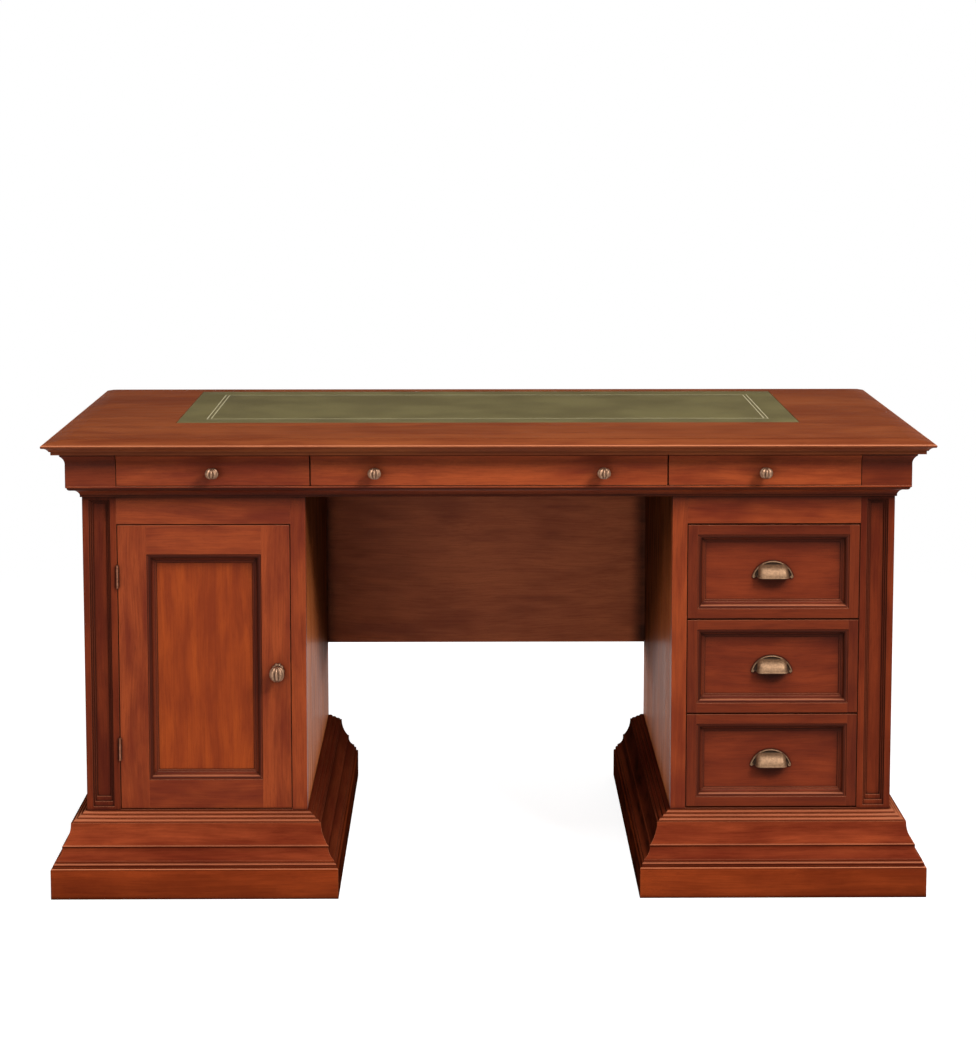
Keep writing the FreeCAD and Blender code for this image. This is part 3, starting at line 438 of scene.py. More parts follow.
def wood(name, pale, deep, dark, shade_and_glaze=0.95, highlight_and_wear=0.6, gloss=0.42, level=0.08, deep_shade=None, rounded=True):
    """Polished mahogany, with painted shade and some dark glazing in corners, under overhangs, under ridges
    and on slim mouldings, and a painted highlight with rubbed wear on ridges and upper edges. The optional
    closeness arguments paint shade on parts deep in the desk. rounded is off where boards meet flush. level
    is how strongly the polish mirrors."""
    recipe = Recipe(name)
    colour, mottle, streak, fibre, pore = figured(recipe, pale, deep, dark)
    shut = recipe.most(recipe.closeness(SHADE_AND_GLAZE_REACH, 0.98, 0.55),
                       recipe.closeness(SHADE_REACH, 0.86, 0.54, LEAN))
    if deep_shade:
        shut = recipe.most(shut, recipe.closeness(**deep_shade))
    normal, edge = recipe.edges(EDGE_RADIUS)
    lift = recipe.upness(normal)
    ridge = recipe.attribute("board_ridge")

    # Painted shade, with some dark glazing: darker in corners, under overhangs, on slim strips and under
    # ridges, less so on sides that face up to the lamps.
    shade_and_glaze_mask = recipe.most(shut, recipe.times(recipe.attribute("board_slim"), SLIM_DARKENING))
    shade_and_glaze_mask = recipe.most(shade_and_glaze_mask, recipe.times(ridge, recipe.spread(lift, 0.4, 0.9, UNDER_RIDGE_SHADE, 0.0)))
    shade_and_glaze_mask = recipe.times(shade_and_glaze_mask, recipe.spread(lift, 0.35, 1.0, 1.0, 0.7))
    shade_and_glaze_mask = recipe.times(shade_and_glaze_mask, recipe.spread(mottle, 0.3, 0.7, 0.8, 1.0))
    colour = recipe.mixed(recipe.times(shade_and_glaze_mask, shade_and_glaze), colour, SHADE_AND_GLAZE_COLOUR)

    # Painted highlight with rubbed wear: paler on ridges and, where rounded, on edges that face up to the
    # lamps, but not where shade is painted.
    highlight_and_wear_mask = recipe.times(ridge, recipe.spread(lift, 0.6, 0.98))
    highlight_and_wear_mask = recipe.times(highlight_and_wear_mask, recipe.minus(1.0, shut))
    if rounded:
        edge = recipe.times(edge, recipe.spread(lift, 0.2, 0.8, 0.1, 1.0))
        edge = recipe.times(edge, recipe.minus(1.0, recipe.times(shut, 0.8)))
        highlight_and_wear_mask = recipe.most(highlight_and_wear_mask, edge)
    colour = recipe.mixed(recipe.times(highlight_and_wear_mask, highlight_and_wear), colour, HIGHLIGHT_AND_WEAR_COLOUR)

    rough = recipe.plus(recipe.spread(streak, 0.3, 0.7, gloss - 0.04, gloss + 0.05), recipe.times(shut, 0.25))
    relief = recipe.minus(recipe.times(fibre, 0.25), pore)
    bumped = recipe.bump(relief, PORE_DEPTH, 0.35, normal if rounded else None)
    recipe.set(Base_Color=colour, Roughness=rough, Specular_IOR_Level=level, Normal=bumped)
    return recipe.material


def plain_timber(name, pale, deep, dark):
    """Unpolished timber of the insides, matt, with open pores, painted shade in its corners and edges rubbed
    paler.
    """
    recipe = Recipe(name)
    place = recipe.attribute("board_place", "Vector")
    patch = recipe.pattern(place, PATCH_RATE)
    streak = recipe.pattern(place, STREAK_RATE, detail=4.0, roughness=0.65)
    pore = recipe.spread(recipe.pattern(place, PORE_RATE, detail=1.0), 0.58, 0.7)
    figure = recipe.plus(recipe.times(patch, 0.45), recipe.times(streak, 0.55))
    colour = recipe.mixed(recipe.spread(figure, 0.34, 0.66), deep, pale)
    colour = recipe.mixed(recipe.times(pore, 0.35), colour, dark)
    # Painted shade in the corners.
    shut = recipe.closeness(TIMBER_SHADE_REACH)
    colour = recipe.mixed(recipe.times(shut, 0.55), colour, dark)
    normal, edge = recipe.edges(TIMBER_EDGE)
    colour = recipe.mixed(recipe.times(edge, 0.25), colour, pale)
    rough = recipe.spread(streak, 0.3, 0.7, 0.55, 0.7)
    relief = recipe.minus(recipe.times(streak, 0.4), pore)
    bumped = recipe.bump(relief, OPEN_PORE_DEPTH, 0.4, normal)
    recipe.set(Base_Color=colour, Roughness=rough, Specular_IOR_Level=0.3, Normal=bumped)
    return recipe.material


def leather(name, pale, deep):
    """Waxed skiver: a soft mottle and a fine grain, with painted shade in creases and where it meets the
    wood.
    """
    recipe = Recipe(name)
    place = recipe.node("TexCoord").outputs["Object"]
    cloud = recipe.noise(place, detail=3.0, scale=9.0).outputs["Fac"]
    speck = recipe.noise(place, scale=320.0).outputs["Fac"]
    grain = recipe.node("TexVoronoi", feature="F1")
    grain.inputs["Scale"].default_value = LEATHER_CELLS
    recipe.feed(grain.inputs["Vector"], place)
    colour = recipe.mixed(recipe.spread(cloud, 0.3, 0.7), deep, pale)
    colour = recipe.mixed(recipe.spread(speck, 0.45, 0.75, 0.0, 0.22), colour, deep)
    colour = recipe.mixed(recipe.times(recipe.closeness(SMALL_SHADE_REACH), 0.6), colour, SHADE_AND_GLAZE_COLOUR)
    rough = recipe.spread(speck, 0.3, 0.7, 0.5, 0.62)
    relief = recipe.plus(recipe.times(grain.outputs["Distance"], 0.7), recipe.times(speck, 0.5))
    bumped = recipe.bump(relief, LEATHER_DEPTH, 0.35)
    recipe.set(Base_Color=colour, Roughness=rough, Specular_IOR_Level=0.3, Normal=bumped)
    return recipe.material


def metal(name, bright, dull, stain, gloss=0.3, stain_share=0.85, metallic=1.0):
    """Antique metal: mottled patina, dark in its hollows and rubbed bright on raised parts."""
    recipe = Recipe(name)
    place = recipe.node("TexCoord").outputs["Object"]
    cloud = recipe.noise(place, detail=4.0, roughness=0.65, scale=260.0).outputs["Fac"]
    fine = recipe.noise(place, scale=1400.0).outputs["Fac"]
    colour = recipe.mixed(recipe.spread(cloud, 0.32, 0.68), dull, bright)
    shut = recipe.closeness(SMALL_SHADE_REACH, 0.93, 0.5)
    colour = recipe.mixed(recipe.times(shut, stain_share), colour, stain)
    normal, edge = recipe.edges(METAL_EDGE)
    colour = recipe.mixed(recipe.times(edge, 0.5), colour, bright)
    rough = recipe.plus(recipe.spread(cloud, 0.3, 0.7, gloss, gloss + 0.12), recipe.times(shut, 0.25))
    bumped = recipe.bump(fine, CAST_DEPTH, 0.3, normal)
    recipe.set(Base_Color=colour, Metallic=metallic, Roughness=rough, Normal=bumped)
    return recipe.material


def moulded_plastic(name, base, dust):
    """Matt moulded plastic with a fine spark texture and dust in its corners."""
    recipe = Recipe(name)
    place = recipe.node("TexCoord").outputs["Object"]
    fine = recipe.noise(place, scale=1800.0).outputs["Fac"]
    colour = recipe.mixed(recipe.times(recipe.closeness(SMALL_SHADE_REACH), 0.4), base, dust)
    normal, _ = recipe.edges(PLASTIC_EDGE)
    rough = recipe.spread(fine, 0.3, 0.7, 0.42, 0.55)
    recipe.set(Base_Color=colour, Roughness=rough, Normal=recipe.bump(fine, PLASTIC_DEPTH, 0.4, normal))
    return recipe.material


# ---------------------------------------------------------------- materials

# The colour of the painted shade and glazing, and the colour of the painted highlight and rubbed wear.
SHADE_AND_GLAZE_COLOUR = shade(26, 8, 4)
HIGHLIGHT_AND_WEAR_COLOUR = shade(204, 128, 90)

top_wood = wood("mahogany_top", shade(150, 78, 41), shade(124, 58, 30), shade(80, 32, 16),
                shade_and_glaze=0.45, highlight_and_wear=0.65, rounded=False)
carcass_wood = wood("mahogany_carcass", shade(154, 68, 32), shade(110, 40, 20), shade(62, 20, 10))
moulding_wood = wood("mahogany_moulding", shade(154, 68, 32), shade(110, 40, 20), shade(60, 19, 9))
panel_wood = wood("mahogany_panel", shade(163, 70, 25), shade(128, 49, 19), shade(92, 32, 12), highlight_and_wear=0.45)
frieze_wood = wood("mahogany_frieze", shade(170, 77, 37), shade(124, 47, 23), shade(62, 20, 10), shade_and_glaze=0.8)
front_wood = wood("mahogany_front", shade(128, 52, 25), shade(94, 33, 16), shade(60, 20, 10), highlight_and_wear=0.45)
plinth_wood = wood("mahogany_plinth", shade(156, 69, 37), shade(110, 41, 23), shade(62, 20, 10),
                   level=0.0, highlight_and_wear=0.52, deep_shade=LOW_SHADE)
base_wood = wood("mahogany_base", shade(162, 68, 30), shade(126, 49, 22), shade(70, 25, 12),
                 level=0.0, highlight_and_wear=0.75, deep_shade=LOW_SHADE)
pilaster_wood = wood("mahogany_pilaster", shade(124, 50, 24), shade(88, 30, 15), shade(48, 15, 8), level=0.05)
# The kneehole's inner sides: a paler, yellower mahogany with hardly any mirroring polish, the pale colour a
# painted sheen in place of the polish's grazing reflection.
inner_side_wood = wood("mahogany_inner_side", shade(200, 113, 60), shade(164, 87, 46), shade(94, 44, 22),
                       gloss=0.3, level=0.002, deep_shade=KNEEHOLE_SHADE)
# The modesty panel is painted paler than the other mahogany, painted light that makes up for the little lamp
# light reaching the back of the kneehole.
modesty_wood = wood("mahogany_modesty", shade(172, 92, 56), shade(134, 65, 39), shade(80, 34, 18))
box_timber = plain_timber("drawer_timber", shade(196, 152, 104), shade(164, 118, 74), shade(104, 66, 36))
inner_timber = plain_timber("carcass_timber", shade(128, 82, 50), shade(96, 56, 32), shade(56, 28, 14))
leather_skin = leather("olive_leather", shade(113, 103, 65), shade(96, 86, 53))
gilt = metal("gilt_tooling", shade(226, 214, 178), shade(202, 188, 146), shade(140, 124, 84),
             gloss=0.4, stain_share=0.2, metallic=0.3)
brass = metal("antique_brass", shade(160, 124, 98), shade(122, 90, 69), shade(40, 25, 16),
              gloss=0.32, metallic=0.8)
pull_brass = metal("pull_brass", shade(142, 109, 80), shade(112, 83, 60), shade(44, 29, 18),
                   gloss=0.42, metallic=0.7)
dark_brass = metal("shadowed_brass", shade(106, 76, 54), shade(76, 52, 37), shade(34, 21, 14),
                   gloss=0.5, metallic=0.65)
hinge_brass = metal("hinge_brass", shade(150, 100, 78), shade(108, 66, 46), shade(40, 22, 13), gloss=0.4)
steel = metal("strike_steel", shade(190, 188, 184), shade(150, 148, 145), shade(70, 62, 54))
plastic = moulded_plastic("catch_plastic", shade(74, 44, 28), shade(120, 100, 84))

# Endings of the nodes whose wide boards stand with their grain upright.
UPRIGHT = ("outer_side", "inner_side", "back")

# Each slot's material, and the nodes, by how their names end, that get another one.
SLOT_MATERIALS = {
    "top_wood": top_wood, "carcass_wood": carcass_wood, "moulding_wood": moulding_wood,
    "panel_wood": panel_wood, "front_wood": front_wood, "base_wood": base_wood, "inner_wood": inner_timber,
    "leather": leather_skin, "antique_brass": brass, "hinge_brass": hinge_brass,
    "catch_plastic": plastic, "strike_steel": steel,
}
NODE_MATERIALS = {
    "_box": box_timber, "_bottom": box_timber, "plinth_moulding": plinth_wood, "pilaster": pilaster_wood,
    "inner_side": inner_side_wood, "modesty_panel": modesty_wood, "left_front": frieze_wood,
    "centre_front": frieze_wood, "right_front": frieze_wood, "door_frame": carcass_wood,
    "corner_blocks": front_wood,
}


def finish_nodes():
    """Every CAD node gets its slot's material, and every wooden one its grain."""
    for name, node in nodes.items():
        slot = node.material_slots[0]
        slot_name = slot.material.name
        if slot_name.endswith("wood"):
            lay_grain(name, upright=name.endswith(UPRIGHT), veneered=slot_name == "top_wood")
        slot.material = SLOT_MATERIALS[slot_name]
        for ending, material in NODE_MATERIALS.items():
            if name.endswith(ending):
                slot.material = material


finish_nodes()


# ---------------------------------------------------------------- new pieces

SHARP_ANGLE = 35.0
SAME_PLACE = 1e-7
ROD_SIDES = 10


class Skin:
    """Points and faces of one new piece, gathered part by part."""

    def __init__(self):
        self.points = []
        self.faces = []
        self.slots = []

    def rings(self, rings, closed=True, capped=False):
        """Joins equal rings of points in order. closed joins each ring's ends. capped fills the end rings."""
        first = len(self.points)
        size = len(rings[0])
        for ring in rings:
            self.points.extend(ring)
        sides = size if closed else size - 1
        for level in range(len(rings) - 1):
            for side in range(sides):
                a = first + level * size + side
                b = first + level * size + (side + 1) % size
                self.faces.append((a, b, b + size, a + size))
                self.slots.append(0)
        if capped:
            for level in (0, len(rings) - 1):
                hub = len(self.points)
                self.points.append(sum((Vector(p) for p in rings[level]), Vector()) / size)
                for side in range(sides):
                    a = first + level * size + side
                    b = first + level * size + (side + 1) % size
                    self.faces.append((a, b, hub))
                    self.slots.append(0)

    def ball(self, centre, radius, steps=10, flat=1.0):
        """A bead, flattened along Y by flat."""
        rings = []
        for level in range(1, steps):
            tilt = math.pi * level / steps
            rings.append([Vector(centre) + radius * Vector((
                math.sin(tilt) * math.cos(turn), -flat * math.cos(tilt), math.sin(tilt) * math.sin(turn)))
                for turn in circle(steps + 4)])
        self.rings(rings, capped=True)

    def rod(self, path, radius):
        """A round rod along a path of points that lies in one plane of constant Y."""
        rings = []
        for index, point in enumerate(path):
            before = Vector(path[max(index - 1, 0)])
            after = Vector(path[min(index + 1, len(path) - 1)])
            ahead = (after - before).normalized()
            out = ahead.cross(Vector((0, 1, 0))).normalized()
            up = out.cross(ahead)
            rings.append([Vector(point) + radius * (math.cos(turn) * out + math.sin(turn) * up)
                          for turn in circle(ROD_SIDES)])
        self.rings(rings, capped=True)

    def piece(self, name, materials):
        """The finished object, smooth except over edges sharper than SHARP_ANGLE."""
        mesh = bpy.data.meshes.new(name)
        mesh.from_pydata([tuple(p) for p in self.points], [], self.faces)
        mesh.polygons.foreach_set("material_index", self.slots)
        tidy = bmesh.new()
        tidy.from_mesh(mesh)
        bmesh.ops.remove_doubles(tidy, verts=tidy.verts, dist=SAME_PLACE)
        bmesh.ops.recalc_face_normals(tidy, faces=tidy.faces)
        tidy.to_mesh(mesh)
        tidy.free()
        for material in materials:
            mesh.materials.append(material)
        mesh.polygons.foreach_set("use_smooth", [True] * len(mesh.polygons))
        mesh.set_sharp_from_angle(angle=math.radians(SHARP_ANGLE))
        made = bpy.data.objects.new(name, mesh)
        bpy.context.scene.collection.objects.link(made)
        return made


def circle(sides):
    """Angles of equal steps round a full turn."""
    return [2 * math.pi * side / sides for side in range(sides)]


def stands_for(piece, node):
    """The new piece replaces a CAD node and rides where it did."""
    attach(piece, nodes[node]["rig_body"])
    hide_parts(node)


# Knobs: an upright melon head on a stem, with a petalled rose behind it.
KNOB_LOBES = 8
KNOB_LOBE_SHARPNESS = 1.3
KNOB_GROOVE = 0.27
KNOB_SIDES = 96
KNOB_LEVELS = 26
KNOB_FULLNESS = 0.8
KNOB_POLE = 0.1
KNOB_STEM_LENGTH = 0.011
STEM_SIDES = 40
ROSE_PETALS = 10
ROSE_PETAL_SIDES = 8
ROSE_SCALLOP = 0.14
ROSE_BEAD_RING = 0.8
ROSE_BEAD_SIZE = 0.16
ROSE_BEAD_RISE = 0.002
ROSE_BEAD_STEPS = 8

# Outlines of the turned parts, as distance out from the wood and radius there. The rose's radii are shares.
ROSE_OUTLINE = ((0.0, 1.0), (0.0008, 1.0), (0.0016, 0.95), (0.0021, 0.86), (0.0022, 0.74), (0.0016, 0.68),
                (0.0018, 0.6), (0.0024, 0.54), (0.0026, 0.3))
STEM_OUTLINE = ((0.002, 0.0056), (0.0028, 0.0056), (0.0034, 0.0044), (0.0046, 0.0036), (0.0070, 0.0034),
                (0.0096, 0.0036), (0.0108, 0.0048), (0.0130, 0.0048))


def melon(skin, centre, radius, half_height):
    """Upright lobed head with deep narrow grooves, pinched a little at both poles."""
    rings = []
    for level in range(KNOB_LEVELS + 1):
        tilt = math.pi * (KNOB_POLE + (1 - 2 * KNOB_POLE) * level / KNOB_LEVELS)
        reach = radius * math.sin(tilt) ** KNOB_FULLNESS
        height = -half_height * math.cos(tilt) / math.cos(math.pi * KNOB_POLE)
        ring = []
        for turn in circle(KNOB_SIDES):
            lobe = abs(math.cos(0.5 * KNOB_LOBES * turn)) ** KNOB_LOBE_SHARPNESS
            out = reach * (1 - KNOB_GROOVE * (1 - lobe))
            ring.append(Vector(centre) + Vector((out * math.sin(turn), -out * math.cos(turn), height)))
        rings.append(ring)
    skin.rings(rings, capped=True)


def turned(skin, centre, outline, sides, petals=0, narrow=1.0):
    """A part turned round an axis along -Y from centre, with its edge scalloped into petals. narrow below 1
    makes it an upright oval."""
    rings = []
    for reach, radius in outline:
        ring = []
        for turn in circle(sides):
            scallop = 1 - (ROSE_SCALLOP * (1 - abs(math.cos(0.5 * petals * turn))) if petals else 0)
            ring.append(Vector(centre) + Vector((narrow * radius * scallop * math.cos(turn), -reach,
                                                 radius * scallop * math.sin(turn))))
        rings.append(ring)
    skin.rings(rings, capped=True)


def knob(skin, x, y, z, diameter, height, rose_width, rose_height):
    """One knob whose rose lies on the wood at x, y, z."""
    rose = rose_height / 2
    narrow = rose_width / rose_height
    outline = [(reach, rose * share) for reach, share in ROSE_OUTLINE]
    turned(skin, (x, y, z), outline, ROSE_PETALS * ROSE_PETAL_SIDES, ROSE_PETALS, narrow)
    for turn in circle(ROSE_PETALS):
        bead = (x + narrow * rose * ROSE_BEAD_RING * math.cos(turn), y - ROSE_BEAD_RISE,
                z + rose * ROSE_BEAD_RING * math.sin(turn))
        skin.ball(bead, rose * ROSE_BEAD_SIZE, steps=ROSE_BEAD_STEPS)
    turned(skin, (x, y, z), STEM_OUTLINE, STEM_SIDES)
    melon(skin, (x, y - KNOB_STEM_LENGTH - diameter / 2, z), diameter / 2, height / 2)


# Pulls: a boxy quarter-barrel cup with a rolled lip on a rimmed flange with scrolled ends. PULL_FIELD is the
# thickness of the flange's sunk field, whose inner border lies PULL_TUCK of the way out under the cup's wall.
PULL_HALF = 0.036
PULL_HEIGHT = 0.028
PULL_PLATE = 0.0018
PULL_FIELD = 0.0009
PULL_RIM = 0.0026
PULL_RIM_RISE = 0.0018
PULL_RIM_STEPS = 8
PULL_LEDGE = 0.0004
PULL_TUCK = 0.96
PULL_CUP_HALF = 0.026
PULL_CUP_RADIUS = 0.0225
PULL_CUP_CORNER = 0.009
PULL_WALL = 0.0018
PULL_LIP_RADIUS = 0.00144
PULL_LIP_INSET = 0.0004
PULL_LIP_FROM = 0.002
PULL_LIP_SIDES = 12
PULL_STEPS = 40
PULL_END_STEPS = 4
PULL_CORNER_STEPS = 12

# The flange's ears: a scroll that tightens from EAR_REACH round a flattened bead.
EAR_INSET = 0.003
EAR_RISE = 0.0005
EAR_REACH = 0.0024
EAR_TIGHTENING = 0.0009
EAR_SWEEP = 1.6 * math.pi
EAR_STEPS = 14
EAR_PROUD = 0.0002
EAR_ROD = 0.0009
EAR_BEAD = 0.0026
EAR_BEAD_PLACE = 0.0014
EAR_BEAD_FLAT = 0.45


def cup_profile(inset):
    """Radius of the cup along X, from one end's middle over its rounded corners to the other's."""
    half = PULL_CUP_HALF - inset
    corner = PULL_CUP_CORNER - inset
    radius = PULL_CUP_RADIUS - inset
    points = [(-half, (radius - corner) * step / PULL_END_STEPS) for step in range(PULL_END_STEPS)]
    for step in range(PULL_CORNER_STEPS + 1):
        turn = math.pi / 2 * step / PULL_CORNER_STEPS
        points.append((-half + corner * (1 - math.cos(turn)), radius - corner * (1 - math.sin(turn))))
    points += [((half - corner) * (step - 3) / 3, radius) for step in (1, 2, 3)]
    return points + [(-x, reach) for x, reach in reversed(points) if x < 0]


def pull_cup(skin, at):
    """The cup's outer wall from its mouth up to the flange, and its inner wall back down."""
    outer = [(step, 0.0) for step in range(PULL_STEPS + 1)]
    inner = [(step, PULL_WALL) for step in range(PULL_STEPS, -1, -1)]
    rings = []
    for step, inset in outer + inner:
        turn = math.pi / 2 * step / PULL_STEPS
        rings.append([at(side, reach * math.cos(turn), reach * math.sin(turn))
                      for side, reach in cup_profile(inset)])
    rings.append(rings[0])
    skin.rings(rings, closed=False)


def pull_lip(skin, at):
    """The roll along the cup's mouth."""
    lip = [at(side, reach - PULL_LIP_INSET, PULL_LIP_RADIUS) for side, reach in cup_profile(0.0)
           if reach > PULL_LIP_FROM]
    up = Vector((0, 0, 1))
    rings = []
    for index, point in enumerate(lip):
        ahead = (lip[min(index + 1, len(lip) - 1)] - lip[max(index - 1, 0)]).normalized()
        out = ahead.cross(up).normalized()
        rings.append([point + PULL_LIP_RADIUS * (math.cos(turn) * out + math.sin(turn) * up)
                      for turn in circle(PULL_LIP_SIDES)])
    skin.rings(rings, capped=True)


def pull_flange(skin, at):
    """The arched flange: a bead round its edge, and inside it a sunk field of the second material."""
    cup = cup_profile(0.0)
    radius = (PULL_HALF ** 2 + PULL_HEIGHT ** 2) / (2 * PULL_HEIGHT)
    centre = Vector((0, 0, PULL_HEIGHT - radius))
    sweep = math.asin(PULL_HALF / radius)
    section = [(0.0, 0.0), (0.0, PULL_PLATE)]
    for step in range(1, PULL_RIM_STEPS):
        turn = math.pi * step / PULL_RIM_STEPS
        section.append((PULL_RIM * (1 - math.cos(turn)) / 2, PULL_PLATE + PULL_RIM_RISE * math.sin(turn)))
    section += [(PULL_RIM, PULL_FIELD), (PULL_RIM + PULL_LEDGE, PULL_FIELD)]
    rings = []
    for step in range(2 * PULL_STEPS + 1):
        share = step / (2 * PULL_STEPS)
        turn = sweep * (2 * share - 1)
        ray = Vector((math.sin(turn), 0, math.cos(turn)))
        ring = []
        for depth, out in section:
            point = centre + ray * (radius - depth)
            ring.append(at(point.x, out, max(point.z, 0.0)))
        side = PULL_CUP_HALF * math.cos(math.pi * (1 - share))
        reach = np.interp(side, [p[0] for p in cup], [p[1] for p in cup])
        up = min(reach, PULL_CUP_RADIUS) if 0 < share < 1 else 0.0
        ring.append(at(side * PULL_TUCK, PULL_FIELD, up * PULL_TUCK))
        ring.append(at(side * PULL_TUCK, 0.0, up * PULL_TUCK))
        rings.append(ring)
    start = len(skin.slots)
    skin.rings(rings, capped=True)
    sunk = len(section) - 2
    for index in range(start, start + 2 * PULL_STEPS * len(rings[0])):
        skin.slots[index] = int((index - start) % len(rings[0]) in (sunk, sunk + 1))


def pull_ears(skin, at):
    """The scrolls and beads at the flange's two ends."""
    for side in (-1, 1):
        across = side * (PULL_HALF - EAR_INSET)
        scroll = []
        for step in range(EAR_STEPS + 1):
            turn = math.pi * (0.5 - side * 0.5) + side * EAR_SWEEP * step / EAR_STEPS
            reach = EAR_REACH - EAR_TIGHTENING * step / EAR_STEPS
            scroll.append(at(across - reach * math.cos(turn), PULL_PLATE + EAR_PROUD,
                             EAR_RISE - side * reach * math.sin(turn)))
        skin.rod(scroll, EAR_ROD)
        skin.ball(at(across, EAR_BEAD_PLACE, EAR_RISE), EAR_BEAD, flat=EAR_BEAD_FLAT)


def cup_pull(skin, x, y, z):
    """One pull whose flange stands on the wood with the middle of its lower edge at x, y, z."""
    def at(side, out, up):
        return Vector((x, y, z)) + Vector((side, -out, up))

    for part in (pull_cup, pull_lip, pull_flange, pull_ears):
        part(skin, at)


def add_knobs(node, places, sizes):
    """One cast piece with a knob at each place, in the stead of a CAD node."""
    skin = Skin()
    for place in places:
        knob(skin, *place, *sizes)
    stands_for(skin.piece(node + "_cast", [brass]), node)


# Each knob's head width and height, and its rose's width and height.
FRIEZE_KNOB = (0.023, 0.0180, 0.015, 0.014)
DOOR_KNOB = (0.026, 0.0255, 0.023, 0.028)
FRIEZE_KNOB_PLACES = {"left": (-0.473,), "centre": (-0.196, 0.196), "right": (0.473,)}

for side, across in FRIEZE_KNOB_PLACES.items():
    node = f"frieze_drawer_{side}_knobs"
    low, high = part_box(node)
    places = [(x, high.y, (low.z + high.z) / 2) for x in across]
    add_knobs(node, places, FRIEZE_KNOB)

low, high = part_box("door_knob")
add_knobs("door_knob", [((low.x + high.x) / 2, high.y, (low.z + high.z) / 2)], DOOR_KNOB)

# Screws: their heads, and how three of them stand in each hinge leaf. HINGE_ZONE tells one hinge's leaf from
# the other's by height, and a leaf's flat is read within LEAF_BAND of its back edge.
SCREW_RADIUS = 0.0031
SCREW_RIM = 0.999
SCREW_RIM_CROWN = 0.3
SCREW_PROUD = 0.00025
SCREW_SLOT = 0.0004
SCREW_SLOT_FLOOR = 0.00003
SCREW_STEPS = 12
SCREW_ROWS = 6
SCREW_SPREAD = 0.013
SCREW_INSET = 0.0095
SCREW_STAGGER = 0.0028
SCREW_TURN = 1.2
HINGE_ZONE = 0.2
LEAF_BAND = 0.001


def screw(skin, x, y, z, facing, turned_by):
    """A countersunk screw head flush in a hinge leaf, with a driver slot cut across it."""
    across = Vector((0, math.cos(turned_by), math.sin(turned_by)))
    along = Vector((0, -math.sin(turned_by), math.cos(turned_by)))
    steps = [side / SCREW_STEPS for side in range(-SCREW_STEPS, SCREW_STEPS + 1)]

    def row(offset, rise):
        reach = math.sqrt(max(SCREW_RADIUS ** 2 - offset ** 2, 0.0))
        return [Vector((x, y, z)) + across * (reach * step) + along * offset + Vector((facing * rise, 0, 0))
                for step in steps]

    offsets = [SCREW_RADIUS * math.sin(math.pi / 2 * step / SCREW_ROWS)
               for step in range(-SCREW_ROWS, SCREW_ROWS + 1) if step]
    rows = [row(-SCREW_RADIUS * SCREW_RIM, 0.0)]
    for offset in offsets:
        crown = SCREW_PROUD * (1 - 0.5 * (offset / SCREW_RADIUS) ** 2)
        if offset == offsets[SCREW_ROWS]:
            rows += [row(-SCREW_SLOT, SCREW_PROUD), row(-SCREW_SLOT, SCREW_SLOT_FLOOR),
                     row(SCREW_SLOT, SCREW_SLOT_FLOOR), row(SCREW_SLOT, SCREW_PROUD)]
        if offset in (offsets[0], offsets[-1]):
            crown *= SCREW_RIM_CROWN
        rows.append(row(offset, crown))
    rows.append(row(SCREW_RADIUS * SCREW_RIM, 0.0))
    skin.rings(rows, closed=False)


def add_hinge_screws(node, facing):
    """Three staggered screws in each leaf of a hinge node, on the side that facing gives."""
    mesh = nodes[node].data
    leaves = {}
    for vertex in mesh.vertices:
        leaves.setdefault(round(vertex.co.z / HINGE_ZONE), []).append(vertex.co)
    skin = Skin()
    for points in leaves.values():
        z = (min(p.z for p in points) + max(p.z for p in points)) / 2
        back = max(p.y for p in points)
        flat = [p.x for p in points if p.y > back - LEAF_BAND]
        x = max(flat) if facing > 0 else min(flat)
        for index in (-1, 0, 1):
            y = back - SCREW_INSET + SCREW_STAGGER * (1 if index else -1)
            turned_by = chance.uniform(-SCREW_TURN, SCREW_TURN)
            screw(skin, x, y, z + index * SCREW_SPREAD, facing, turned_by)
    made = skin.piece(node + "_screws", [hinge_brass])
    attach(made, nodes[node]["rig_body"])


add_hinge_screws("hinge_frame_leaves", 1)
add_hinge_screws("hinge_door_leaves", -1)

for number in (1, 2, 3):
    node = f"pedestal_drawer_{number}_pull"
    low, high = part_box(node)
    skin = Skin()
    cup_pull(skin, (low.x + high.x) / 2, high.y, high.z - PULL_HEIGHT)
    stands_for(skin.piece(node + "_cast", [pull_brass, dark_brass]), node)


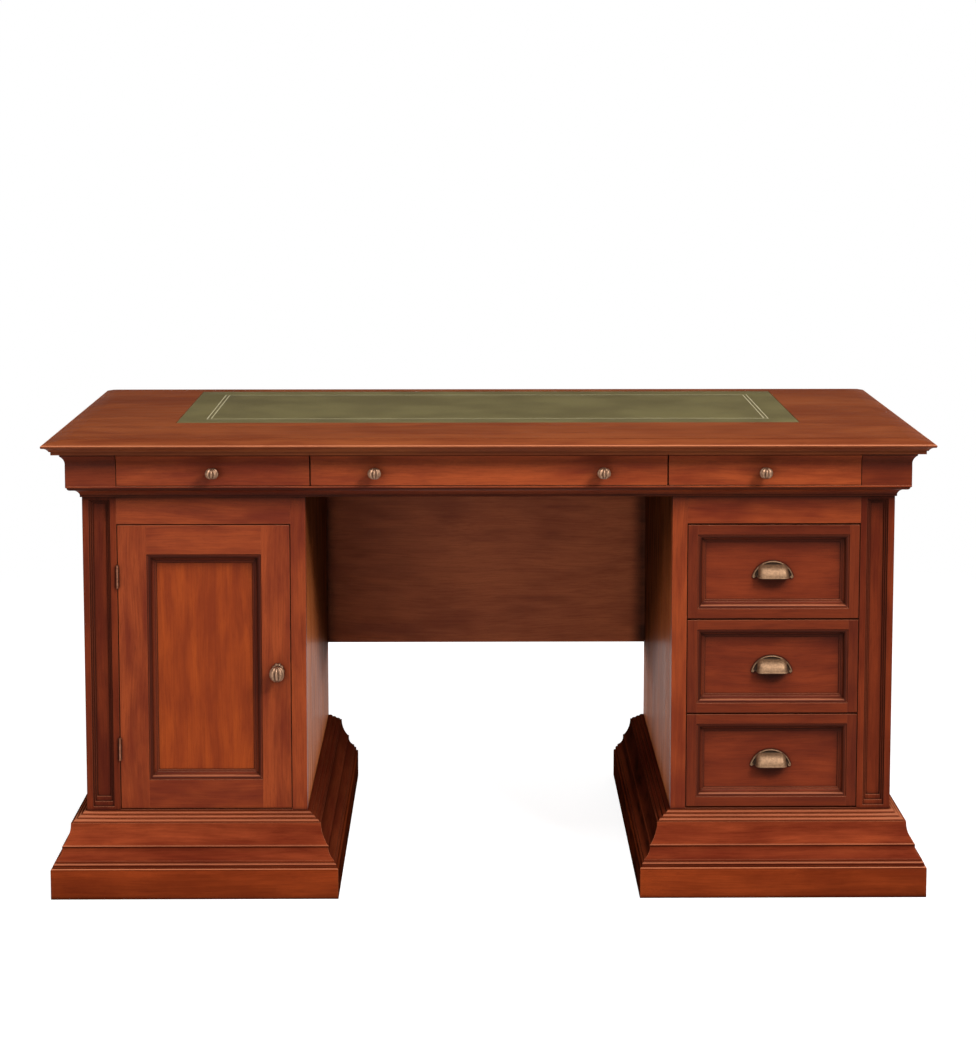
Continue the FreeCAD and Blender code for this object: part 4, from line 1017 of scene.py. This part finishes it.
def inlaid_leather():
    """The writing leather, rolled over at its border, with two gilt lines pressed into it."""
    low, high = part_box("writing_leather")
    x0, x1 = low.x + LEATHER_GAP, high.x - LEATHER_GAP
    y0, y1 = low.y + LEATHER_GAP, high.y - LEATHER_GAP
    dips = {0.0: LEATHER_ROLL * 0.5, LEATHER_ROLL * 0.3: LEATHER_ROLL * 0.15, LEATHER_ROLL: 0.0}
    bands = []
    for inset in GILT_INSETS:
        for away, dip in ((-GILT_SLOPE, 0.0), (0.0, GILT_DEPTH), (GILT_WIDTH, GILT_DEPTH),
                          (GILT_WIDTH + GILT_SLOPE, 0.0)):
            dips[inset - GILT_WIDTH / 2 + away] = dip
        bands.append((inset - GILT_WIDTH / 2, inset + GILT_WIDTH / 2))
    insets = sorted(dips)

    def stations(start, end):
        middle = [start + (end - start) * step / LEATHER_STEPS for step in range(2, LEATHER_STEPS - 1)]
        return [start + i for i in insets] + middle + [end - i for i in reversed(insets)]

    xs = stations(x0, x1)
    ys = stations(y0, y1)
    skin = Skin()
    top = high.z
    bottom = top - LEATHER_THICKNESS

    def inset_of(x, y):
        return min(x - x0, x1 - x, y - y0, y1 - y)

    rows = []
    for y in ys:
        rows.append([Vector((x, y, top - float(np.interp(inset_of(x, y), insets, [dips[i] for i in insets]))))
                     for x in xs])
    skin.rings(rows, closed=False)
    for index, face in enumerate(skin.faces):
        middle = sum((skin.points[v] for v in face), Vector()) / 4
        inset = inset_of(middle.x, middle.y)
        if any(start < inset < end for start, end in bands):
            skin.slots[index] = 1
    rim = ([(x, y0) for x in xs] + [(x1, y) for y in ys[1:]] + [(x, y1) for x in reversed(xs[:-1])]
           + [(x0, y) for y in reversed(ys[1:-1])])
    upper = [Vector((x, y, top - dips[0.0])) for x, y in rim]
    lower = [Vector((x, y, bottom)) for x, y in rim]
    skin.rings([upper, lower])
    skin.faces.append(tuple(range(len(skin.points) - len(lower), len(skin.points))))
    skin.slots.append(0)
    made = skin.piece("writing_leather_skin", [leather_skin, gilt])
    stands_for(made, "writing_leather")


inlaid_leather()


# ---------------------------------------------------------------- stage, light and camera

def make_floor():
    """Pale floor that keeps the shadow near the desk and runs out to plain white."""
    mesh = bpy.data.meshes.new("floor")
    reach = FLOOR_REACH
    mesh.from_pydata([(-reach, -reach, 0), (reach, -reach, 0), (reach, reach, 0), (-reach, reach, 0)], [],
                     [(0, 1, 2, 3)])
    floor = bpy.data.objects.new("floor", mesh)
    floor.location.z = -FLOOR_DROP
    bpy.context.scene.collection.objects.link(floor)
    recipe = Recipe("floor")
    tree = recipe.tree
    tree.nodes.remove(recipe.shader)
    output = tree.nodes["Material Output"]
    path = recipe.node("LightPath")
    seen = recipe.most(path.outputs["Is Camera Ray"], path.outputs["Is Glossy Ray"])
    seen = recipe.most(seen, path.outputs["Is Transmission Ray"])
    matt = recipe.node("BsdfDiffuse")
    matt.inputs["Color"].default_value = (FLOOR_GREY, FLOOR_GREY, FLOOR_GREY, 1)
    glow = recipe.node("Emission")
    recipe.feed(glow.inputs["Strength"], recipe.times(seen, FLOOR_GLOW))
    near = recipe.node("AddShader")
    recipe.feed(near.inputs[0], matt.outputs[0])
    recipe.feed(near.inputs[1], glow.outputs[0])
    white = recipe.node("Emission")
    recipe.feed(white.inputs["Strength"], recipe.spread(seen, 0.0, 1.0, ROOM_LEVEL, 1.0))
    length = recipe.node("VectorMath", operation="LENGTH")
    recipe.feed(length.inputs[0], recipe.node("TexCoord").outputs["Object"])
    away = recipe.spread(length.outputs["Value"], FLOOR_FADE_FROM, FLOOR_FADE_TO)
    mix = recipe.node("MixShader")
    recipe.feed(mix.inputs[0], away)
    recipe.feed(mix.inputs[1], near.outputs[0])
    recipe.feed(mix.inputs[2], white.outputs[0])
    recipe.feed(output.inputs["Surface"], mix.outputs[0])
    mesh.materials.append(recipe.material)


def make_world():
    """Soft room light, white where the camera, a mirror or glass looks at it."""
    world = bpy.data.worlds.new("room")
    bpy.context.scene.world = world
    world.use_nodes = True
    tree = world.node_tree
    background = tree.nodes["Background"]
    background.inputs["Color"].default_value = (1, 1, 1, 1)
    path = tree.nodes.new("ShaderNodeLightPath")
    seen = path.outputs["Is Camera Ray"]
    for ray in ("Is Glossy Ray", "Is Transmission Ray"):
        either = tree.nodes.new("ShaderNodeMath")
        either.operation = "MAXIMUM"
        tree.links.new(seen, either.inputs[0])
        tree.links.new(path.outputs[ray], either.inputs[1])
        seen = either.outputs[0]
    level = tree.nodes.new("ShaderNodeMapRange")
    level.inputs["To Min"].default_value = ROOM_LEVEL
    level.inputs["To Max"].default_value = 1.0
    tree.links.new(seen, level.inputs["Value"])
    tree.links.new(level.outputs["Result"], background.inputs["Strength"])


def soft_box(name, place, aim, width, height, power, mirrored=True):
    """A rectangular lamp. Where mirrored is off, polished surfaces don't show it as a sheen."""
    light = bpy.data.lights.new(name, "AREA")
    light.shape = "RECTANGLE"
    light.size = width
    light.size_y = height
    light.energy = power
    lamp = bpy.data.objects.new(name, light)
    lamp.location = place
    lamp.rotation_euler = (Vector(aim) - Vector(place)).to_track_quat("-Z", "Y").to_euler()
    lamp.visible_camera = False
    lamp.visible_glossy = mirrored
    bpy.context.scene.collection.objects.link(lamp)


def make_flag():
    """The dark card that keeps the polished top from washing out."""
    mesh = bpy.data.meshes.new("flag")
    wide = FLAG_HALF_WIDTH
    mesh.from_pydata([(-wide, FLAG_PLACE, FLAG_LOW), (wide, FLAG_PLACE, FLAG_LOW),
                      (wide, FLAG_PLACE, FLAG_HIGH), (-wide, FLAG_PLACE, FLAG_HIGH)], [], [(0, 1, 2, 3)])
    flag = bpy.data.objects.new("flag", mesh)
    bpy.context.scene.collection.objects.link(flag)
    flag.visible_camera = False
    flag.visible_diffuse = False
    flag.visible_shadow = False
    flag.visible_transmission = False
    recipe = Recipe("flag")
    recipe.set(Base_Color=(FLAG_GREY, FLAG_GREY, FLAG_GREY, 1), Roughness=1.0, Specular_IOR_Level=0.0)
    mesh.materials.append(recipe.material)


def make_camera():
    """The camera that looks at the desk's front from a little above."""
    camera = bpy.data.cameras.new("camera")
    camera.lens = CAMERA_LENS
    camera.sensor_width = CAMERA_SENSOR
    camera.sensor_fit = "AUTO"
    camera.shift_y = CAMERA_SHIFT
    camera.clip_end = CAMERA_SIGHT
    eye = bpy.data.objects.new("camera", camera)
    eye.location = CAMERA_PLACE
    eye.rotation_euler = (math.pi / 2 - CAMERA_PITCH, 0, -CAMERA_YAW)
    bpy.context.scene.collection.objects.link(eye)
    bpy.context.scene.camera = eye


make_floor()
make_world()
make_flag()
soft_box("key", place=(2.4, -3.3, 3.5), aim=(0.0, -0.3, 0.45), width=1.2, height=1.0, power=165.0)
soft_box("fill", place=(-1.2, -4.5, 1.1), aim=(0.0, 0.0, 0.45), width=2.4, height=1.4, power=52.0)
soft_box("top", place=(0.0, -1.3, 2.9), aim=(0.0, -0.3, 0.6), width=3.0, height=0.5, power=36.0)
soft_box("back", place=(0.0, 3.4, 0.7), aim=(0.0, 0.0, 0.4), width=3.8, height=0.9, power=80.0,
         mirrored=False)
make_camera()
bpy.context.scene.view_settings.view_transform = "Standard"
